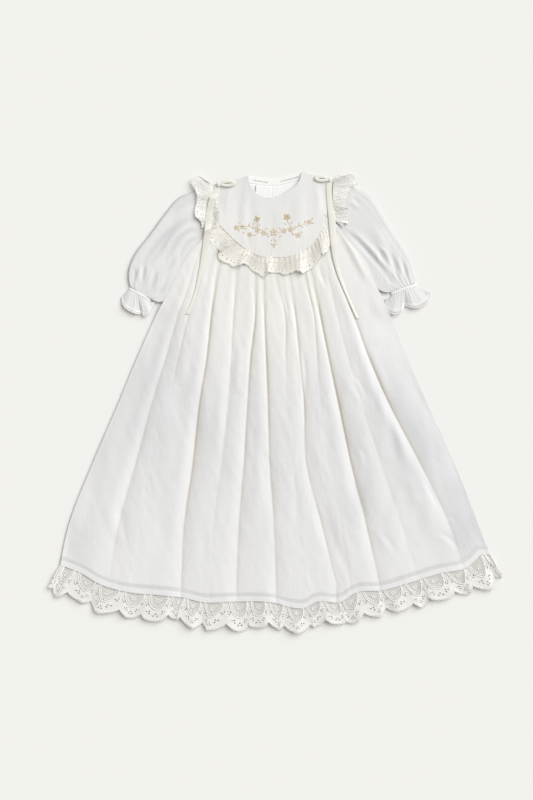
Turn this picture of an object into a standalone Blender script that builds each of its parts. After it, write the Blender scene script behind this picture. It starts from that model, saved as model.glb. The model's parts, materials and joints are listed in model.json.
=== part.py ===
"""Christening gown laid flat on its back, with its front up.

Metres, +Z up, +Y towards the neck. The origin is under the middle of the gown, on the surface that it lies on.
The back panels rest on that surface, the front panels lie on them, and the skirt's sides lie over the sleeves.
Plan sizes in the tables are millimetres from the origin and are turned into metres where they are read.
"""

from typing import NamedTuple

import bpy
import numpy as np

MM = 0.001

# Driving dimensions of the cloth
SEAM_GAP = 0.5 * MM
LACE_GAP = 0.9 * MM
LAY_GAP = 0.4 * MM
COTTON_WALL = 1.2 * MM
PLATE_WALL = 1.1 * MM
ORGANZA_WALL = 1.0 * MM
LACE_WALL = 1.0 * MM
RIBBON_WALL = 1.0 * MM
SLEEVE_RIM = 3.4 * MM
WAIST_Y = 262 * MM
SKIRT_LENGTH = 590 * MM
HEM_BAND_SHARE = 0.972

# Heights of the skirt's upper face
SKIRT_FLOOR = PLATE_WALL + LAY_GAP + COTTON_WALL
SKIRT_RIM_LOW = SKIRT_FLOOR + 0.2 * MM
SKIRT_RIM_ON_SLEEVE = 6.3 * MM
SLEEVE_TOP_Y = 164 * MM
SLEEVE_END_Y = 130 * MM
SKIRT_RISE_WIDTH = 45 * MM
SKIRT_RISE_POWER = 1.3
CREST_DROP_WIDTH = 4 * MM
CREST_RISE_WIDTH = 12 * MM
CREST_RISE_SPREAD = 0.045
CREST_SPREAD_Y = 250 * MM
FOLD_START_SHARE = 0.06
FOLD_START_DEPTH = 0.25
NOTCH_POWER = 1.7
GATHER_HEIGHT = 0.4 * MM
GATHER_REACH = 0.05

# Heights of the yoke's upper face
YOKE_SEAM_Z = 5.8 * MM
YOKE_CROWN = 2.8 * MM
YOKE_CROWN_POWER = 0.8
YOKE_SIDE_POWER = 3
YOKE_ROWS = 7

# Y of the stations at which every fold line of the skirt is placed
FOLD_STATIONS = (320, 275, 250, 200, 150, 75, 0, -100, -200, -300)


class FoldLine(NamedTuple):
    """A line down the skirt: its seam height, its x at the stations, and its depth high, midway and low."""

    name: str
    seam_y: float
    x: tuple
    high: float
    middle: float
    low: float


FOLD_LINES = (
    FoldLine("left_side", 316, (-114, -124, -146, -173, -200, -234, -265, -308, -347, -368), 0, 0, 0),
    FoldLine("left_soft", 311, (-108, -117, -131, -146, -164, -186, -207, -239, -264, -280), 2.5, 4.0, 3.0),
    FoldLine("left_short", 304, (-102, -112, -125, -133, -147, -165, -180, -205, -228, -245), 3.5, 0, 0),
    FoldLine("left_deep", 291, (-92, -92.5, -94, -103, -110, -118, -127, -140, -155, -156), 4.0, 7.5, 5.5),
    FoldLine("left_inner", 265, (-64, -64.5, -65, -69, -69, -62, -69, -85, -105, -110), 3.5, 3.0, 0),
    FoldLine("left_middle", 249, (-40, -39, -39, -38, -36, -45, -47, -50, -64, -62), 2.5, 4.0, 4.5),
    FoldLine("centre_deep", 243, (-25, -25, -25, -23, -22, -19, -16, -13, -6, -2), 4.0, 6.0, 4.5),
    FoldLine("centre_short", 242, (-9, -8, -8, 0, 12, 14, 16, 24, 36, 48), 3.0, 0, 0),
    FoldLine("right_middle", 243, (14, 15, 15, 22, 29, 37, 44, 48, 73, 98), 4.0, 3.5, 4.5),
    FoldLine("right_short", 249, (36, 39, 40, 48, 60, 66, 72, 84, 106, 121), 2.5, 0, 2.0),
    FoldLine("right_deep", 256, (46, 48, 49, 60, 70, 85, 101, 122, 147, 172), 4.0, 6.5, 4.0),
    FoldLine("right_soft", 271, (58, 63, 67, 86, 98, 118, 140, 172, 206, 236), 2.0, 0, 0),
    FoldLine("right_outer", 300, (78, 86, 90, 106, 125, 152, 185, 237, 285, 318), 4.0, 7.5, 2.0),
    FoldLine("right_side", 316, (84, 114, 136, 162, 186, 218, 250, 295, 334, 372), 0, 0, 0),
)
FOLD_DEPTH_STATIONS = (200, 0, -250)
COLUMNS_IN_A_FOLD = (0.0, 0.10, 0.28, 0.55, 0.80, 0.94)
GATHERS_PER_FOLD = 1.5

# Height of the skirt's crests over the way down, from the yoke's seam (0) to the hem (1)
CREST_DOWN = (0.0, 0.08, 0.20, 0.45, 0.75, 1.0)
CREST_HEIGHT = (4.8, 5.6, 8.4, 11.0, 9.4, 6.6)

# Shares of the way down at which the skirt has its rows, close together under the yoke's seam
SKIRT_TOP_ROWS = (0, 0.02, 0.05)
SKIRT_FIRST_EVEN_ROW = 0.10
SKIRT_EVEN_ROWS = 11

# The hem line under the skirt: x and y
HEM_LINE = (
    (-362, -272), (-325, -286), (-300, -300), (-250, -315), (-200, -320), (-155, -325), (-125, -332),
    (-75, -331), (-5, -333), (25, -341), (46, -341), (62, -332), (108, -330), (126, -318), (175, -312),
    (225, -298), (275, -284), (325, -273), (355, -253),
)

# Tips of the hem lace's scallops: x and y
LACE_TIPS = (
    (-383, -314), (-360, -326), (-335, -331), (-297, -349), (-250, -358), (-205, -362), (-170, -360),
    (-146, -373), (-110, -377), (-65, -379), (-30, -373), (0, -377), (35, -382), (66, -372), (100, -367),
    (130, -366), (168, -354), (205, -346), (242, -339), (275, -326), (318, -318), (352, -309), (379, -288),
)
LACE_ROOT_SPREAD = 358.0 / 381.0
LACE_ROOT_SHIFT = -3 * MM
LACE_ROOT_ENDS = (-361 * MM, 354 * MM)
LACE_TIP_Z = 6.2 * MM
LACE_COLUMNS_PER_SCALLOP = 6
LACE_ROWS = 4
SCALLOP_NOTCH = 0.24
SCALLOP_POWER = 0.7


class Wave(NamedTuple):
    """A wave along a frill: its height, its turns for each scallop and its start in turns."""

    height: float
    turns: float
    start: float


LACE_WAVES = (Wave(1.7 * MM, 0.575, 0.10), Wave(0.9 * MM, 0.605, -0.25))

# The back panels: how far their edges lie inside the front's, their lace's depth, and their outlines
BACK_INSET = 5.0 * MM
BACK_INSET_AT_SLEEVE = 12.0 * MM
BACK_LACE_SHARE = 0.875
BACK_SKIRT_SIDE_Y = -250 * MM
BACK_COLUMNS = 45
BACK_ROWS = 6
BACK_SHOULDER = (
    (-109, 360), (-90, 365.5), (-70, 371), (-51, 376.5), (-49.6, 367), (-30, 363.5), (-10, 361.5), (12, 365),
    (30, 369.5), (40.6, 374), (42, 383.5), (60, 379), (80, 374), (93, 369),
)
BACK_WAIST_ENDS = (-124, 112)
BACK_NECK = ((-48.6, 377.5), (-30, 374), (-10, 372), (12, 375.5), (30, 380), (40.6, 384.5))
NECK_BAND_DEPTH = 9.6 * MM
NECK_BAND_WALL = PLATE_WALL + 0.3 * MM
PLACKET_TOP = ((-36, 363), (-10, 360))
PLACKET_LOW = ((-36, 268), (-10, 268))


class YokeRib(NamedTuple):
    """A line down the yoke: its upper end, the height there, and the fold line that it runs to."""

    x: float
    y: float
    z: float
    fold: float


YOKE_RIBS = (
    YokeRib(-110, 362, 2.8, 2.3),
    YokeRib(-90, 367, 2.9, 2.7),
    YokeRib(-70, 372, 3.1, 3.1),
    YokeRib(-57, 376, 3.6, 3.7),
    YokeRib(-50, 378, 4.6, 4.0),
    YokeRib(-46, 364, 5.6, 4.4),
    YokeRib(-38, 353, 6.2, 4.8),
    YokeRib(-27, 345, 6.4, 5.6),
    YokeRib(-15, 342, 6.6, 6.5),
    YokeRib(-5, 343, 6.6, 7.0),
    YokeRib(5, 346, 6.6, 7.5),
    YokeRib(18, 353, 6.4, 8.3),
    YokeRib(29, 361, 6.2, 9.1),
    YokeRib(37, 372, 5.6, 9.7),
    YokeRib(41, 384, 4.6, 10.3),
    YokeRib(55, 382, 3.6, 11.0),
    YokeRib(75, 377, 3.1, 11.5),
    YokeRib(94, 371, 2.8, 12.05),
)


class FrillRib(NamedTuple):
    """A line across a frill: its sewn end, its free end and the free end's height."""

    sewn_x: float
    sewn_y: float
    free_x: float
    free_y: float
    free_z: float


YOKE_FRILL = (
    FrillRib(-102, 320, -109, 318, 8.8),
    FrillRib(-99, 306, -112, 301, 8.6),
    FrillRib(-96, 298, -115, 286, 9.2),
    FrillRib(-91, 289, -113, 270, 8.6),
    FrillRib(-83, 279, -104, 261, 9.8),
    FrillRib(-75, 271, -95, 250, 9.4),
    FrillRib(-67, 264, -94, 238, 11.6),
    FrillRib(-57, 258, -80, 230, 9.2),
    FrillRib(-48, 253, -62, 230, 11.8),
    FrillRib(-40, 249, -48, 228, 9.4),
    FrillRib(-32, 245, -40, 220, 12.2),
    FrillRib(-24, 243, -30, 211, 9.6),
    FrillRib(-12, 242, -14, 216, 12.0),
    FrillRib(0, 242, -2, 217, 9.6),
    FrillRib(12, 243, 10, 213, 12.2),
    FrillRib(24, 245, 22, 217, 9.6),
    FrillRib(36, 249, 36, 219, 12.0),
    FrillRib(47, 255, 50, 220, 9.6),
    FrillRib(56, 262, 62, 228, 11.8),
    FrillRib(64, 270, 70, 243, 9.4),
    FrillRib(71, 280, 81, 252, 9.8),
    FrillRib(76, 289, 88, 262, 8.8),
    FrillRib(80, 300, 90, 280, 8.6),
    FrillRib(81, 312, 87, 302, 8.8),
)

LEFT_SHOULDER_FRILL = (
    FrillRib(-112, 366, -118, 371, 9.0),
    FrillRib(-113, 360, -132, 374, 11.0),
    FrillRib(-114, 354, -143, 367, 9.4),
    FrillRib(-115, 348, -135, 355, 8.2),
    FrillRib(-117, 340, -134, 342, 10.6),
    FrillRib(-120, 331, -136, 330, 8.4),
    FrillRib(-122, 322, -137, 318, 10.4),
    FrillRib(-124, 314, -134, 310, 8.6),
    FrillRib(-124, 306, -131, 305, 10.0),
    FrillRib(-124, 299, -128, 298, 8.8),
    FrillRib(-124, 293, -126, 291, 9.2),
)

RIGHT_SHOULDER_FRILL = (
    FrillRib(98, 375, 102, 379, 9.0),
    FrillRib(98, 370, 116, 380, 11.0),
    FrillRib(98, 365, 129, 374, 9.0),
    FrillRib(98, 360, 133, 365, 10.8),
    FrillRib(98, 354, 123, 358, 8.4),
    FrillRib(98, 347, 120, 350, 10.6),
    FrillRib(98, 340, 116, 341, 8.4),
    FrillRib(98, 332, 112, 333, 10.4),
    FrillRib(98, 323, 116, 324, 8.4),
    FrillRib(98.5, 314, 118, 313, 10.4),
    FrillRib(100, 306, 117, 303, 8.6),
    FrillRib(102.5, 300, 113, 297, 9.8),
    FrillRib(106, 295, 109, 292, 9.0),
)

YOKE_FRILL_SEWN_Z = 8.0 * MM
SHOULDER_FRILL_SEWN_Z = 5.4 * MM
FRILL_COLUMNS_PER_RIB = 3
FRILL_ROWS = 4
FRILL_LIFT_POWER = 0.8


class SleeveStation(NamedTuple):
    """A line across a flattened sleeve: its outer edge, its inner edge and the height of its middle."""

    outer_x: float
    outer_y: float
    inner_x: float
    inner_y: float
    height: float


LEFT_SLEEVE = (
    SleeveStation(-118, 358, -129, 266, 4.2),
    SleeveStation(-135, 354, -136, 254, 4.6),
    SleeveStation(-165, 342, -146, 236, 5.2),
    SleeveStation(-190, 313, -157, 214, 5.6),
    SleeveStation(-214, 280, -169, 192, 5.8),
    SleeveStation(-236, 252, -182, 171, 5.8),
    SleeveStation(-247, 228, -195, 166, 5.6),
    SleeveStation(-249, 208, -201, 168, 5.2),
    SleeveStation(-246, 194, -210, 173, 4.6),
)
RIGHT_SLEEVE = (
    SleeveStation(101, 366, 111, 287, 4.7),
    SleeveStation(124, 359, 122, 266, 4.6),
    SleeveStation(150, 345, 134, 240, 5.2),
    SleeveStation(170, 317, 144, 221, 5.6),
    SleeveStation(190, 283, 156, 200, 5.8),
    SleeveStation(208, 257, 166, 188, 5.8),
    SleeveStation(220, 234, 174, 184, 5.6),
    SleeveStation(226, 214, 182, 183, 5.2),
    SleeveStation(230, 200, 188, 185, 4.6),
)
SLEEVE_ROWS = 11
SLEEVE_COLUMNS = 15
SLEEVE_FOLDS = 2.2
SLEEVE_FOLD_SLANT = 0.35
SLEEVE_FOLD_HEIGHT = 0.7 * MM
SLEEVE_GATHERS = 6
SLEEVE_GATHER_START = 0.72
SLEEVE_GATHER_HEIGHT = 0.4 * MM
SLEEVE_BULGE_POWER = 0.6

# The cuffs: a band, and below it a frill with two lobes
CUFF_BAND_LENGTH = 6.0 * MM
CUFF_BAND_HEIGHT = 5.4 * MM
CUFF_BAND_COLUMNS = 11
CUFF_BAND_ROWS = ((SEAM_GAP, 0.85), (CUFF_BAND_LENGTH / 2, 1.0), (CUFF_BAND_LENGTH, 0.85))
CUFF_FRILL_COLUMNS = 21
CUFF_FRILL_ROWS = 3
CUFF_FRILL_CROWN = 1.6 * MM
CUFF_FRILL_WAVE = 1.3 * MM
CUFF_FRILL_WAVES = 3.5
LEFT_CUFF_EDGE = ((-262, 172), (-256, 163), (-245, 155), (-234, 149), (-225, 146), (-217, 149), (-211, 158),
                  (-206, 167))
RIGHT_CUFF_EDGE = ((253, 181), (249, 171), (237, 163), (225, 160), (213, 160), (205, 153), (194, 151),
                   (184, 155), (181, 168))


class RibbonStation(NamedTuple):
    """A line across a ribbon's tail: its two edges on one level, and the least height of its upper face."""

    left_x: float
    right_x: float
    y: float
    z: float


LEFT_TAIL = (
    RibbonStation(-104, -93, 364, 4.3),
    RibbonStation(-109, -97, 353, 5.2),
    RibbonStation(-113, -101, 342, 7.6),
    RibbonStation(-117, -105, 328, 9.8),
    RibbonStation(-120.5, -108.5, 310, 10.8),
    RibbonStation(-121.5, -110, 290, 10.8),
    RibbonStation(-124, -112.5, 270, 10.8),
    RibbonStation(-127, -117, 245, 8.6),
    RibbonStation(-132, -124, 215, 0),
    RibbonStation(-137, -130, 190, 0),
    RibbonStation(-145, -139, 165, 0),
    RibbonStation(-153, -147, 147, 0),
)
RIGHT_TAIL = (
    RibbonStation(82, 92, 371, 4.3),
    RibbonStation(80.5, 91.5, 360, 5.2),
    RibbonStation(81, 92, 345, 7.6),
    RibbonStation(82.5, 94.5, 325, 9.8),
    RibbonStation(85, 96.5, 300, 10.8),
    RibbonStation(87, 97, 275, 10.8),
    RibbonStation(91, 100, 245, 8.6),
    RibbonStation(98, 105, 218, 0),
    RibbonStation(108, 114, 192, 0),
    RibbonStation(120, 125, 165, 0),
    RibbonStation(131, 136, 140, 0),
)


class Bow(NamedTuple):
    """A ribbon loop tied at the shoulder: the knot's middle, the loop's far end and the ribbon's width."""

    side: str
    knot_x: float
    knot_y: float
    end_x: float
    end_y: float
    width: float


BOWS = (
    Bow("left", -98, 364, -69, 366, 11),
    Bow("right", 87, 372, 61, 374, 11),
)
LOOP_LOW_Z = 5.6 * MM
LOOP_HIGH_Z = 8.8 * MM
LOOP_ENTRY_Z = LOOP_HIGH_Z - 1.2 * MM
LOOP_RETURN_Z = (LOOP_HIGH_Z + 0.8 * MM, LOOP_HIGH_Z + 0.3 * MM, LOOP_ENTRY_Z)
LOOP_SHARES = (0.0, 0.3, 0.65)
LOOP_TURN_STEPS = 9
LOOP_WIDTHS = ((0.0, 0.5, 1.0), (0.55, 1.0, 0.9))
KNOT_SIZE = (9.0 * MM, 10.0 * MM, 3.6 * MM)
KNOT_Z = LOOP_ENTRY_Z + LAY_GAP
KNOT_SEGMENTS = 12
KNOT_RINGS = 6
TAIL_RISE = 2.1 * MM
TAIL_CROWN = 0.3 * MM


class Look(NamedTuple):
    """A cloth's name, colour and roughness."""

    name: str
    colour: tuple
    roughness: float


COTTON = Look("cotton", (0.86, 0.86, 0.85), 0.85)
ORGANZA = Look("organza", (0.84, 0.85, 0.86), 0.55)
WHITE_LACE = Look("lace_white", (0.85, 0.85, 0.84), 0.80)
CREAM_LACE = Look("lace_cream", (0.82, 0.78, 0.70), 0.80)
SATIN = Look("satin", (0.84, 0.81, 0.74), 0.35)


def smooth(at, stations, values):
    """Cubic curve through values at rising stations, with the mean slope of its neighbours at each."""
    stations = np.asarray(stations, float)
    values = np.asarray(values, float)
    slopes = np.gradient(values, stations)
    at = np.clip(at, stations[0], stations[-1])
    index = np.clip(np.searchsorted(stations, at, side="right") - 1, 0, len(stations) - 2)
    step = stations[index + 1] - stations[index]
    u = (at - stations[index]) / step
    start = (1 + 2 * u) * (1 - u) ** 2 * values[index]
    end = (3 - 2 * u) * u ** 2 * values[index + 1]
    bend = u * (1 - u) * step * ((1 - u) * slopes[index] - u * slopes[index + 1])
    return start + end + bend


def through(rows, count):
    """Points at even steps of a smooth curve through the rows of a table, one column at a time."""
    table = np.array(rows, float)
    marks = np.arange(len(table))
    at = np.linspace(0, len(table) - 1, count)
    return np.stack([smooth(at, marks, column) for column in table.T], axis=-1)


def fold_x(place, y):
    """X at height y of the line at a place counted in fold lines, between its two neighbours."""
    stations = np.array(FOLD_STATIONS[::-1], float) * MM
    lines = np.stack([smooth(y, stations, np.array(line.x[::-1]) * MM) for line in FOLD_LINES])
    low = np.clip(np.floor(place).astype(int), 0, len(FOLD_LINES) - 2)
    share = place - low
    x_low = np.take_along_axis(lines, low[None], axis=0)[0]
    x_high = np.take_along_axis(lines, low[None] + 1, axis=0)[0]
    return x_low + (x_high - x_low) * share


def seam_point(place):
    """X and y of the yoke's seam at a place counted in fold lines."""
    marks = np.arange(len(FOLD_LINES))
    y = smooth(place, marks, [line.seam_y * MM for line in FOLD_LINES])
    return fold_x(place, y), y


def hem_y(x):
    """Y of the hem under x."""
    table = np.array(HEM_LINE, float) * MM
    return np.interp(x, table[:, 0], table[:, 1])


def skirt_height(x, y, down):
    """Height of the skirt's upper face: a crowned sheet with a notch at each fold line.

    A notch is steep on its left, where a crest ends, and rises slowly to the next crest on its right.
    """
    edge = np.zeros_like(x)
    left = fold_x(edge, y)
    right = fold_x(edge + len(FOLD_LINES) - 1, y)
    inside = np.clip(np.minimum(x - left, right - x), 0, None)
    on_sleeve = np.clip((y - SLEEVE_END_Y) / (SLEEVE_TOP_Y - SLEEVE_END_Y), 0, 1)
    rim = SKIRT_RIM_LOW + (SKIRT_RIM_ON_SLEEVE - SKIRT_RIM_LOW) * on_sleeve ** 2 * (3 - 2 * on_sleeve)
    crest = smooth(down, CREST_DOWN, np.array(CREST_HEIGHT) * MM)
    rise = 1 - np.exp(-(inside / SKIRT_RISE_WIDTH) ** SKIRT_RISE_POWER)
    height = rim + np.clip(crest - rim, 0, None) * rise
    slow_side = CREST_RISE_WIDTH + CREST_RISE_SPREAD * np.clip(CREST_SPREAD_Y - y, 0, None)
    opening = np.clip(down / FOLD_START_SHARE, FOLD_START_DEPTH, 1)
    for number, line in enumerate(FOLD_LINES):
        depths = (line.low, line.middle, line.high)
        depth = np.interp(y, np.array(FOLD_DEPTH_STATIONS[::-1]) * MM, np.array(depths) * MM)
        away = x - fold_x(edge + number, y)
        width = np.where(away < 0, CREST_DROP_WIDTH, slow_side)
        height = height - depth * opening * np.exp(-np.abs(away / width) ** NOTCH_POWER)
    return np.maximum(height, np.minimum(rim, SKIRT_FLOOR + on_sleeve * (SKIRT_RIM_ON_SLEEVE - SKIRT_FLOOR)))


def skirt_points(places, downs):
    """Grid of points on the skirt's upper face, from the yoke's seam (0) to the hem (1)."""
    place, down = np.meshgrid(places, downs)
    _, top_y = seam_point(place)
    bottom_y = hem_y(fold_x(place, np.full_like(place, FOLD_STATIONS[-1] * MM)))
    y = (top_y - SEAM_GAP) * (1 - down) + bottom_y * down
    x = fold_x(place, y)
    gathers = GATHER_HEIGHT * np.exp(-down / GATHER_REACH) * np.sin(2 * np.pi * GATHERS_PER_FOLD * place)
    z = skirt_height(x, y, down) + gathers
    return np.stack([x, y, z], axis=-1)


def fold_places():
    """Places of the skirt's columns, close together on each side of a fold line."""
    folds = len(FOLD_LINES) - 1
    inner = [number + part for number in range(folds) for part in COLUMNS_IN_A_FOLD]
    return np.array(inner + [folds])


def blend_rows(first, last, rows):
    """Rows of points evenly between a first and a last row."""
    share = np.linspace(0, 1, rows)[:, None, None]
    return first[None] * (1 - share) + last[None] * share


def finish(look):
    """The material of a look, made once."""
    material = bpy.data.materials.get(look.name)
    if material is None:
        material = bpy.data.materials.new(look.name)
        material.use_nodes = True
        shader = material.node_tree.nodes["Principled BSDF"]
        shader.inputs["Base Color"].default_value = (*look.colour, 1.0)
        shader.inputs["Roughness"].default_value = look.roughness
        shader.inputs["Metallic"].default_value = 0.0
    return material


def add_mesh(name, points, faces, look):
    """A mesh object from an array of points and an array of faces."""
    mesh = bpy.data.meshes.new(name)
    mesh.from_pydata(points.reshape(-1, 3).tolist(), [], faces.tolist())
    mesh.update()
    mesh.shade_smooth()
    mesh.materials.append(finish(look))
    piece = bpy.data.objects.new(name, mesh)
    bpy.data.collections["christening_gown"].objects.link(piece)
    return piece


def grid_faces(rows, columns, ring=False):
    """Four-sided faces of a grid, whose columns close into a ring where asked."""
    row, column = np.meshgrid(np.arange(rows - 1), np.arange(columns if ring else columns - 1), indexing="ij")
    beside = (column + 1) % columns
    corners = (row * columns + column, (row + 1) * columns + column, (row + 1) * columns + beside,
               row * columns + beside)
    return np.stack([corner.ravel() for corner in corners], axis=-1)


def add_wall(piece, thickness):
    """A wall of even thickness under a surface's outer face."""
    wall = piece.modifiers.new("wall", "SOLIDIFY")
    wall.thickness = thickness
    wall.offset = -1.0
    return piece


def add_sheet(name, points, thickness, look):
    """A sheet of cloth: rows of points run away from the neck, columns run to the right."""
    rows, columns, _ = points.shape
    return add_wall(add_mesh(name, points, grid_faces(rows, columns), look), thickness)


def add_flat_tube(name, plan, height, thickness, look):
    """A tube that lies flat: its rings go over the top of a plan grid and back along the surface."""
    rows, columns, _ = plan.shape
    rim_height = height[:, :1] * 0.5
    far_height = height[:, -1:] * 0.5
    upper = np.concatenate([rim_height, height[:, 1:-1], far_height], axis=1)
    over = np.concatenate([plan, upper[..., None]], axis=-1)
    under_plan = plan[:, -2:0:-1]
    under = np.concatenate([under_plan, np.zeros(under_plan.shape[:2] + (1,))], axis=-1)
    rings = np.concatenate([over, under], axis=1)
    faces = grid_faces(rows, rings.shape[1], ring=True)
    along = rings[-1].mean(axis=0) - rings[0].mean(axis=0)
    across = plan[0, -1] - plan[0, 0]
    if along[0] * across[1] - along[1] * across[0] < 0:
        faces = faces[:, ::-1]
    return add_wall(add_mesh(name, rings, faces, look), thickness)


def across_shares(count, width, rim):
    """Shares across a tube: both edges, a point a rim's width inside each, and even steps between."""
    inset = rim / width
    return np.concatenate([[0], np.linspace(inset, 1 - inset, count - 2), [1]])


def make_front_skirt():
    """The front skirt with its pleats, and the folded hem band below it."""
    places = fold_places()
    downs = np.concatenate([SKIRT_TOP_ROWS, np.linspace(SKIRT_FIRST_EVEN_ROW, HEM_BAND_SHARE, SKIRT_EVEN_ROWS)])
    add_sheet("front_skirt", skirt_points(places, downs), COTTON_WALL, COTTON)
    band = skirt_points(places, np.linspace(HEM_BAND_SHARE, 1, 2))
    band[0, :, 1] -= SEAM_GAP
    add_sheet("front_hem_band", band, COTTON_WALL, COTTON)


def make_yoke():
    """The front yoke: ribs from the shoulders and the neckline down to the seam, over a low crown."""
    count = 2 * len(YOKE_RIBS) - 1
    table = through(YOKE_RIBS, count)
    top = table[:, :3] * MM
    low_x, low_y = seam_point(table[:, 3])
    low = np.stack([low_x, low_y, np.full(count, YOKE_SEAM_Z)], axis=-1)
    points = blend_rows(top, low, YOKE_ROWS)
    down = np.linspace(0, 1, YOKE_ROWS)[:, None]
    side = np.linspace(-1, 1, count)[None]
    points[..., 2] += YOKE_CROWN * np.sin(np.pi * down) ** YOKE_CROWN_POWER * (1 - np.abs(side) ** YOKE_SIDE_POWER)
    add_sheet("front_yoke", points, COTTON_WALL, COTTON)


def add_frill(name, ribs, look, sewn_z):
    """A frill: ribs from its sewn edge to its free edge, whose wave grows towards the free edge."""
    table = through(ribs, (len(ribs) - 1) * FRILL_COLUMNS_PER_RIB + 1) * MM
    sewn = np.stack([table[:, 0], table[:, 1], np.full(len(table), sewn_z)], axis=-1)
    free = table[:, 2:5]
    points = blend_rows(sewn, free, FRILL_ROWS)
    share = np.linspace(0, 1, FRILL_ROWS)[:, None]
    points[..., 2] = sewn[:, 2] + (free[:, 2] - sewn[:, 2])[None] * share ** FRILL_LIFT_POWER
    if np.cross(free[0, :2] - sewn[0, :2], sewn[-1, :2] - sewn[0, :2]) < 0:
        points = points[:, ::-1]
    add_sheet(name, points, LACE_WALL, look)


def make_frills():
    """The cream frill along the yoke's seam and the two frills over the armholes."""
    add_frill("yoke_lace", YOKE_FRILL, CREAM_LACE, YOKE_FRILL_SEWN_Z)
    add_frill("shoulder_lace_left", LEFT_SHOULDER_FRILL, WHITE_LACE, SHOULDER_FRILL_SEWN_Z)
    add_frill("shoulder_lace_right", RIGHT_SHOULDER_FRILL, WHITE_LACE, SHOULDER_FRILL_SEWN_Z)


def lace_roots(count):
    """Points on the hem above each scallop's place, with the place counted in scallops."""
    tips = through(LACE_TIPS, count) * MM
    x = np.clip(tips[:, 0] * LACE_ROOT_SPREAD + LACE_ROOT_SHIFT, *LACE_ROOT_ENDS)
    band = skirt_points(fold_places(), [1.0])[0]
    return tips, x, np.interp(x, band[:, 0], band[:, 1])


def make_hem_lace():
    """The scalloped lace below the hem: gathered at its root, waved and scalloped at its tips."""
    count = (len(LACE_TIPS) - 1) * LACE_COLUMNS_PER_SCALLOP + 1
    place = np.linspace(0, len(LACE_TIPS) - 1, count)
    tips, x, y = lace_roots(count)
    z = skirt_height(x, y, np.ones(count))
    root = np.stack([x, y - LACE_GAP, z], axis=-1)
    wave = sum(part.height * np.cos(2 * np.pi * (part.turns * place + part.start)) for part in LACE_WAVES)
    reach = 1 - SCALLOP_NOTCH * (1 - np.abs(np.cos(np.pi * place)) ** SCALLOP_POWER)
    tip = root + (np.stack([tips[:, 0], tips[:, 1], LACE_TIP_Z + wave], axis=-1) - root) * reach[:, None]
    add_sheet("front_hem_lace", blend_rows(root, tip, LACE_ROWS), LACE_WALL, WHITE_LACE)


def add_plate(name, top, bottom, rows, thickness, look, low=0.0):
    """A flat panel between two edges, each a row of x and y, with its underside at a height."""
    share = np.linspace(0, 1, rows)[:, None, None]
    plan = top[None] * (1 - share) + bottom[None] * share
    points = np.concatenate([plan, np.full(plan.shape[:2] + (1,), low + thickness)], axis=-1)
    add_sheet(name, points, thickness, look)


def make_back():
    """The back panels, flat on the surface: skirt, its lace, yoke, neck band and placket."""
    share = np.linspace(0, 1, BACK_COLUMNS)
    rows = np.linspace(0, 1, BACK_ROWS)
    level_y = (WAIST_Y - SEAM_GAP) * (1 - rows) + BACK_SKIRT_SIDE_Y * rows
    under_sleeve = np.clip((level_y - SLEEVE_END_Y) / (SLEEVE_TOP_Y - SLEEVE_END_Y), 0, 1)
    inset = BACK_INSET + (BACK_INSET_AT_SLEEVE - BACK_INSET) * under_sleeve
    zero = np.zeros_like(level_y)
    left = fold_x(zero, level_y) + inset
    right = fold_x(zero + len(FOLD_LINES) - 1, level_y) - inset
    x = left[:, None] * (1 - share) + right[:, None] * share
    bottom = hem_y(x[-1]) + BACK_INSET
    y = level_y[:, None] + (bottom - level_y[-1]) * rows[:, None] ** 2
    plate = np.stack([x, y, np.full_like(x, PLATE_WALL)], axis=-1)
    add_sheet("back_skirt", plate, PLATE_WALL, COTTON)

    root = plate[-1, :, :2] - np.array([0, SEAM_GAP])
    tips = through(LACE_TIPS, BACK_COLUMNS) * MM
    tip = root + (tips - root) * BACK_LACE_SHARE
    add_plate("back_hem_lace", root, tip, 2, PLATE_WALL, WHITE_LACE)

    shoulder = np.array(BACK_SHOULDER) * MM
    waist_x = np.linspace(*BACK_WAIST_ENDS, len(shoulder)) * MM
    waist = np.stack([waist_x, np.full(len(shoulder), WAIST_Y)], axis=-1)
    add_plate("back_yoke", shoulder, waist, 4, PLATE_WALL, COTTON)
    neck = through(BACK_NECK, 3 * len(BACK_NECK) - 2) * MM
    below = neck - np.array([0, NECK_BAND_DEPTH])
    add_plate("back_neck_band", neck, below, 2, NECK_BAND_WALL, COTTON)
    add_plate("back_placket", np.array(PLACKET_TOP) * MM, np.array(PLACKET_LOW) * MM, 3, PLATE_WALL, COTTON,
              low=PLATE_WALL + LAY_GAP)


def sleeve_folds(share_along, share_across):
    """Height of a sleeve's folds: long ones from the armhole and short gathers above the cuff."""
    turns = SLEEVE_FOLDS * share_across + SLEEVE_FOLD_SLANT * share_along
    long_folds = SLEEVE_FOLD_HEIGHT * np.sin(2 * np.pi * turns)
    near_cuff = np.clip((share_along - SLEEVE_GATHER_START) / (1 - SLEEVE_GATHER_START), 0, 1)
    gathers = SLEEVE_GATHER_HEIGHT * np.sin(2 * np.pi * SLEEVE_GATHERS * share_across) * near_cuff
    return (long_folds * np.sin(np.pi * share_along) + gathers) * np.sin(np.pi * share_across)


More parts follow.
